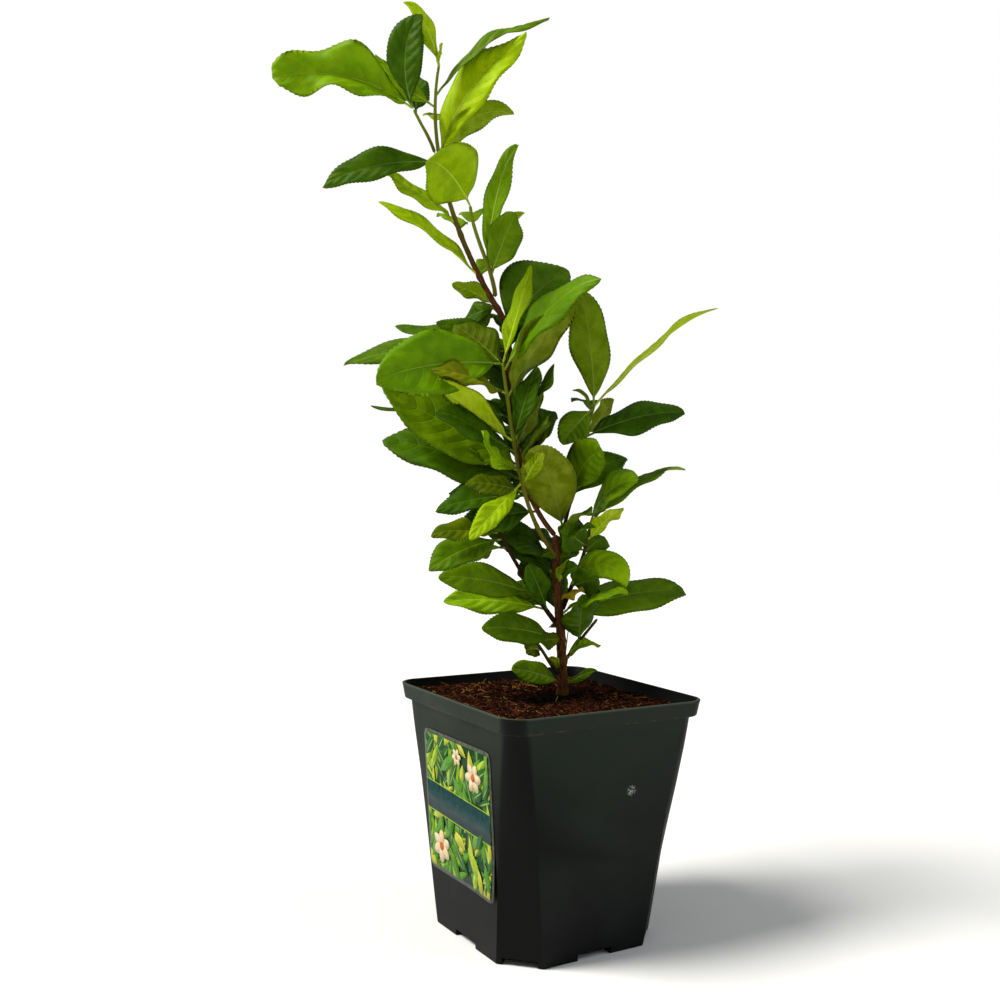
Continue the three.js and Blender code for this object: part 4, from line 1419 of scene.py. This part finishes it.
@dataclass
class Label:
    """A printed film label on the pot's -X wall: leaves, blossoms and a plain dark band. Millimetres."""

    pot: Pot
    width: float = 88.0
    height: float = 96.0
    y: float = -0.5
    z: float = 87.5
    corner: float = 5.0
    margin: float = 2.6
    inner_corner: float = 2.0
    leaf_count: int = 190
    peel: float = 2.0
    stand_off: float = 0.35
    film: float = 0.03
    edge_level: float = 0.05
    ground_level: float = 0.1
    print_level: float = 0.12
    print_step: float = 0.002
    blossoms: tuple[Triple, ...] = ((0.27, 0.3, 1.0), (-0.3, -0.33, 1.15), (0.02, 0.4, 0.6))

    def spot(self, across: float, up: float, off: float) -> Vector:
        """A place on the wall, in metres.

        Args:
            across: distance from the label's middle, to the right for someone who looks at it.
            up: distance above its middle.
            off: distance off the wall.

        Returns:
            The place.
        """
        z = self.z + up
        lift = self.peel * ease(0.55, 1.0, across / self.width + 0.5) * ease(0.6, 1.0, 0.5 - up / self.height)
        return Vector((-self.pot.side(z) / 2 - self.stand_off - off - lift, self.y - across, z)) * MM

    def sheet(self, art: Shape, width: float, height: float, corner: float, level: float, ink: Ink) -> None:
        """Adds a rounded rectangle of film.

        Args:
            art: what it is added to, flat, as across, up and level.
            width: its width.
            height: its height.
            corner: its corners' radius.
            level: its distance off the wall.
            ink: its colour.
        """
        made = grid(art, 16, 18)
        for vert in made:
            x, y = vert.co.x * width, vert.co.y * height
            over = Vector((abs(x) - width / 2 + corner, abs(y) - height / 2 + corner))
            if over.x > 0 and over.y > 0 and over.length > 0:
                square = max(over.x, over.y)
                over *= square / over.length
                x = math.copysign(width / 2 - corner + over.x, x)
                y = math.copysign(height / 2 - corner + over.y, y)
            vert.co = Vector((x, y, level))
        dye(made, ink)

    def shape(self, art: Shape, centre: Pair, size: Pair, turn: float,
              level: float, ink: Ink, point: float = 1.0) -> None:
        """Adds one flat printed shape.

        Args:
            art: what it is added to.
            centre: its middle.
            size: its length and width.
            turn: degrees it is turned by.
            level: its distance off the wall.
            ink: its colour.
            point: 1 for a pointed leaf and 0 for an ellipse.
        """
        made = bmesh.ops.create_circle(art, cap_ends=True, segments=16, radius=1.0)["verts"]
        spin = Matrix.Rotation(math.radians(turn), 2)
        for vert in made:
            narrow = 1 - point * abs(vert.co.x) ** 2.2 * 0.75
            flat = spin @ Vector((vert.co.x * size[0] / 2, vert.co.y * size[1] / 2 * narrow))
            vert.co = Vector((centre[0] + flat.x, centre[1] + flat.y, level))
        dye(made, ink)

    def build(self) -> bpy.types.Object:
        """Makes the label as one piece with a material for each ink.

        Returns:
            The label's piece.
        """
        rng = random.Random("label")
        art = bmesh.new()
        wide, high = self.width - 2 * self.margin, self.height - 2 * self.margin
        levels = (self.print_level + self.print_step * number for number in count())
        self.strew(art, wide, high, rng, levels)
        self.band_across(art, next(levels))
        for x, y, scale in self.blossoms:
            self.blossom(art, (x * wide, y * high), scale, rng.uniform(0, 70), levels)
        for normal, reach in (((1, 0, 0), wide), ((-1, 0, 0), wide), ((0, 1, 0), high), ((0, -1, 0), high)):
            geometry = art.verts[:] + art.edges[:] + art.faces[:]
            edge = Vector(normal) * (reach / 2)
            bmesh.ops.bisect_plane(art, geom=geometry, plane_co=edge, plane_no=normal, clear_outer=True)
        self.sheet(art, wide, high, self.inner_corner, self.ground_level, Ink.GROUND)
        self.sheet(art, self.width, self.height, self.corner, self.edge_level, Ink.EDGE)
        skins = bmesh.ops.extrude_face_region(art, geom=art.faces[:], use_keep_orig=True)["geom"]
        for vert in (item for item in skins if isinstance(item, Vert)):
            vert.co.z += self.film
        for vert in art.verts:
            vert.co = self.spot(*vert.co)
        return finished("label_print", art, [ink.value.material() for ink in Ink], "label_film", ("label",))

    def strew(self, art: Shape, wide: float, high: float, rng: random.Random,
              levels: Iterator[float]) -> None:
        """Strews the printed leaves, each with its midrib.

        Args:
            art: what they are added to.
            wide: the width that they cover.
            high: the height that they cover.
            rng: where the random numbers come from.
            levels: a new distance off the wall for each shape.
        """
        for _ in range(self.leaf_count):
            centre = (rng.uniform(-0.52, 0.52) * wide, rng.uniform(-0.52, 0.52) * high)
            size = (rng.uniform(14, 30), rng.uniform(4.5, 9))
            turn = rng.choice((65, 115, 90, 40, 140)) + rng.uniform(-20, 20)
            ink = rng.choice((Ink.LIME, Ink.LEAF, Ink.LEAF, Ink.DEEP, Ink.DEEP, Ink.YELLOW))
            rib = Ink.LIME if ink in (Ink.DEEP, Ink.YELLOW) else Ink.LEAF
            self.shape(art, centre, size, turn, next(levels), ink)
            self.shape(art, centre, (size[0] * 0.9, 0.7), turn, next(levels), rib)

    def band_across(self, art: Shape, level: float) -> None:
        """Adds the plain dark band across the label, with a pale rule along each edge.

        Args:
            art: what they are added to.
            level: the band's distance off the wall.
        """
        rule = level + self.print_step
        strips = ((1, 19, level, Ink.BAND), (11, 0.6, rule, Ink.LIME), (-9, 0.6, rule, Ink.LIME))
        for up, tall, off, ink in strips:
            made = grid(art, 12, 1)
            for vert in made:
                across = vert.co.x * self.width * 1.1
                vert.co = Vector((across, up + vert.co.y * tall - across * 0.06, off))
            dye(made, ink)

    def blossom(self, art: Shape, centre: Pair, scale: float, turn: float,
                levels: Iterator[float]) -> None:
        """Adds a blossom of six pale petals round a warm heart.

        Args:
            art: what it is added to.
            centre: its middle.
            scale: its size, as a share of a full one.
            turn: degrees it is turned by.
            levels: a new distance off the wall for each shape.
        """
        petal = (9.5 * scale, 6.4 * scale)
        for number in range(6):
            angle = turn + number * 60
            out = direction(angle, 0) * 5.2 * scale
            place = (centre[0] + out.x, centre[1] + out.y)
            self.shape(art, place, petal, angle, next(levels), Ink.PETAL, 0.2)
        self.shape(art, centre, (5 * scale, 5 * scale), 0, next(levels), Ink.HEART, 0.0)


# ---------------------------------------------------------------- compost
class Loose(Enum):
    """What lies loose on the compost, in the order of its materials."""

    DARK = CompostFinish("fibre_dark", "120803", "2e190b")
    RED = CompostFinish("fibre_red", "3a1709", "74422a")
    GOLD = CompostFinish("fibre_gold", "7c5620", "a88038", 0.75)
    FLECK = CompostFinish("fleck", "8c8470", "b8b098", 0.8)


@dataclass(frozen=True)
class Hollow:
    """A hollow in the compost: its place from the stem, half its size each way and its share of the depth."""

    x: float
    y: float
    half_x: float
    half_y: float
    share: float

    def depth(self, x: float, y: float) -> float:
        """How deep it is at a place given from the stem, from 0 to its share."""
        off = math.hypot((x - self.x) / self.half_x, (y - self.y) / self.half_y)
        return self.share * math.exp(-off * off)


@dataclass
class Compost:
    """The compost: a heaved crumbly bed with loose fibres, crumbs and flecks on it. Millimetres."""

    pot: Pot
    stem: Pair = (18.0, 8.0)
    wall_top: float = 154.6
    stem_top: float = 153.4
    heap_reach: float = 75.0
    tilt: float = 0.011
    heave: float = 1.5
    lump: float = 1.3
    crumb: float = 0.5
    hollow_depth: float = 5.0
    hollows: tuple[Hollow, ...] = (Hollow(-14, 6, 26, 14, 1.0), Hollow(17, 18, 20, 15, 0.8))
    clearance: float = 0.4
    cells: int = 180
    handfuls: int = 60
    fibres_each: int = 70
    crumbs_each: int = 22
    fibre_lift: float = 0.25
    bed: CompostFinish = CompostFinish("compost_bed", "080301", "341608")

    def hollow(self, x: float, y: float) -> float:
        """How deep a point lies in the hollows on the left of the stem and behind it, from 0 to about 1."""
        return sum(hollow.depth(x - self.stem[0], y - self.stem[1]) for hollow in self.hollows)

    def top(self, x: float, y: float) -> float:
        """The bed's height at a point.

        Args:
            x: the point's place along X.
            y: its place along Y.

        Returns:
            The height.
        """
        share = min(1.0, math.hypot(x - self.stem[0], y - self.stem[1]) / self.heap_reach)
        spot = Vector((x, y, 0))
        tilt = (y - x) * self.tilt * share
        heave = noise.noise(spot * 0.045) * self.heave * math.sin(share * math.pi)
        lumps = noise.fractal(spot * 0.17 + Vector((7, 3, 0)), 0.8, 2.0, 4) * self.lump
        crumbs = noise.noise(spot * 1.1) * self.crumb
        level = lerp(self.stem_top, self.wall_top, share) + tilt + heave + lumps + crumbs
        return level - self.hollow_depth * self.hollow(x, y)

    def spot(self, angle: float, share: float) -> Vector:
        """A point of the bed's surface.

        Args:
            angle: its angle in plan, in radians.
            share: how far it is from the pot's middle to its wall, from 0 to 1.

        Returns:
            The point, in metres.
        """
        reach = (self.pot.inner_reach(angle, self.wall_top) - self.clearance) * share
        x, y = reach * math.cos(angle), reach * math.sin(angle)
        return Vector((x, y, self.top(x, y))) * MM

    def build(self) -> None:
        """Makes the bed and what lies loose on it."""
        shape = bmesh.new()
        for vert in grid(shape, self.cells, self.cells, 1.0):
            vert.co = self.spot(math.atan2(vert.co.y, vert.co.x), max(abs(vert.co.x), abs(vert.co.y)))
        edges = [edge for edge in shape.edges if edge.is_boundary]
        for z in (self.pot.shoulder() - 1.2, 100.0, 50.0, self.pot.floor + self.clearance):
            verts, edges = extruded(shape, edges)
            for vert in verts:
                angle = math.atan2(vert.co.y, vert.co.x)
                reach = self.pot.inner_reach(angle, z) - self.clearance
                vert.co = Vector((reach * math.cos(angle), reach * math.sin(angle), z)) * MM
        bmesh.ops.contextual_create(shape, geom=edges)
        finished("compost_bed", shape, [self.bed.material()], "compost", ("compost",))
        self.scatter()

    def scatter(self) -> None:
        """Makes the loose fibres and crumbs as one piece, a handful at a time."""
        rng = random.Random("compost")
        shape = bmesh.new()
        for _ in range(self.handfuls):
            handful = bmesh.new()
            for _ in range(self.fibres_each):
                self.add_fibre(handful, rng)
            for _ in range(self.crumbs_each):
                self.add_crumb(handful, rng)
            data = as_mesh("handful", handful)
            shape.from_mesh(data)
            bpy.data.meshes.remove(data)
        finished("compost_fibres", shape, [finish.value.material() for finish in Loose], "compost", sharp=40)

    def loose_spot(self, rng: random.Random) -> Vector:
        """A random point of the bed's surface, in metres."""
        return self.spot(rng.uniform(-math.pi, math.pi), math.sqrt(rng.random()) * 0.985)

    def add_crumb(self, shape: Shape, rng: random.Random) -> None:
        """Adds one crumb or pale fleck.

        Args:
            shape: what it is added to.
            rng: where the random numbers come from.
        """
        spot = self.loose_spot(rng)
        verts = bmesh.ops.create_icosphere(shape, subdivisions=1, radius=rng.uniform(0.35, 1.3) * MM)["verts"]
        for vert in verts:
            vert.co = spot + vert.co * rng.uniform(0.7, 1.2)
        dye(verts, rng.choices((Loose.DARK, Loose.RED, Loose.FLECK), (60, 30, 0.3))[0])

    def add_fibre(self, shape: Shape, rng: random.Random) -> None:
        """Adds one bent fibre, mostly dark in the hollows as painted shade, and golden in places.

        Args:
            shape: what it is added to.
            rng: where the random numbers come from.
        """
        spot = self.loose_spot(rng)
        depth = self.hollow(spot.x / MM, spot.y / MM)
        golden = noise.noise(spot * 45) > 0.12
        # Dark fibres crowd into the hollows as painted shade.
        weights = (4 + 60 * depth, 6, 2.4 if golden else 0.3)
        finish = rng.choices((Loose.DARK, Loose.RED, Loose.GOLD), weights)[0]
        length, thick = rng.uniform(2, 12) * rng.uniform(0.5, 1.2) * MM, rng.uniform(0.15, 0.5) * MM
        verts = sphere(shape, 3, 4)
        lie = direction(rng.uniform(0, 360), rng.gauss(0, 16)).to_track_quat("Z", "Y")
        bend = rng.uniform(-90, 90)
        for vert in verts:
            along = vert.co.z * length / 2
            bent = Vector((vert.co.x * thick + bend * along * along, vert.co.y * thick, along))
            vert.co = spot + lie @ bent + Vector((0, 0, self.fibre_lift * MM))
        dye(verts, finish)


# ---------------------------------------------------------------- studio
@dataclass(frozen=True)
class Lamp:
    """A far soft lamp that shines from a heading and a rise, with its disc's apparent width in degrees."""

    name: str
    heading: float
    rise: float
    width: float
    strength: float
    tint: Triple = (1.0, 1.0, 1.0)

    def build(self) -> None:
        """Hangs the lamp."""
        data = bpy.data.lights.new(self.name, "SUN")
        data.energy, data.angle, data.color = self.strength, math.radians(self.width), self.tint
        lamp = placed(self.name, data)
        toward = direction(self.heading, self.rise)
        lamp.location = toward
        lamp.rotation_euler = toward.to_track_quat("Z", "Y").to_euler()


@dataclass
class Studio:
    """The camera, the pale floor and the soft light."""

    eye: Triple = (-0.4396, -0.6590, 0.3080)
    heading: float = 58.8
    pitch: float = -1.27
    roll: float = 1.09
    lens: float = 42.0
    sensor: float = 36.0
    floor_side: float = 60.0
    floor_tone: Colour = (0.86, 0.86, 0.86, 1.0)
    sky_tone: Colour = (1.0, 1.0, 1.0, 1.0)
    ambient: float = 0.27
    lamps: tuple[Lamp, ...] = (
        Lamp("key", 162, 50, 24, 4.15, (1.0, 0.98, 0.92)),
        Lamp("fill", -45, 35, 40, 0.6, (0.92, 0.98, 1.0)),
    )

    def build_camera(self) -> None:
        """Sets the camera."""
        data = bpy.data.cameras.new("camera")
        data.lens, data.sensor_width = self.lens, self.sensor
        camera = placed("camera", data)
        camera.location = self.eye
        look = direction(self.heading, self.pitch).to_track_quat("-Z", "Y").to_matrix()
        camera.rotation_euler = (look @ Matrix.Rotation(math.radians(self.roll), 3, "Z")).to_euler()
        bpy.context.scene.camera = camera

    def build_surroundings(self) -> None:
        """Lays the floor, hangs the lamps and sets the pale surroundings."""
        shape = bmesh.new()
        grid(shape, 1, 1, self.floor_side / 2)
        floor = placed("floor", as_mesh("floor", shape))
        shader = Shader("floor", 0.9, 0.1)
        shader.principled.inputs["Base Color"].default_value = self.floor_tone
        floor.data.materials.append(shader.material)
        floor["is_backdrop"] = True
        for lamp in self.lamps:
            lamp.build()
        self.build_sky()
        bpy.context.scene.view_settings.view_transform = "Standard"

    def build_sky(self) -> None:
        """Makes surroundings that look white and shed a weaker light."""
        world = bpy.data.worlds.new("studio")
        world.use_nodes = True
        tree = world.node_tree
        glow = tree.nodes["Background"]
        glow.inputs["Color"].default_value = self.sky_tone
        seen = tree.nodes.new("ShaderNodeLightPath").outputs["Is Camera Ray"]
        strength = tree.nodes.new("ShaderNodeMapRange")
        tree.links.new(seen, strength.inputs["Value"])
        strength.inputs["To Min"].default_value = self.ambient
        tree.links.new(strength.outputs[0], glow.inputs["Strength"])
        bpy.context.scene.world = world


def main() -> None:
    """Builds the camera, the pot, its contents, the bush and the studio, and works out the sizes."""
    logging.basicConfig(level=logging.INFO)
    solid_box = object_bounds()
    studio = Studio()
    studio.build_camera()
    pot = Pot()
    pot.build()
    Label(pot).build()
    Compost(pot).build()
    Bush().build()
    studio.build_surroundings()
    boxes = {"solid": solid_box, "visual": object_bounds()}
    {name: [[round(v, 5) for v in corner] for corner in box] for name, box in boxes.items()}


if __name__ == "__main__":
    main()
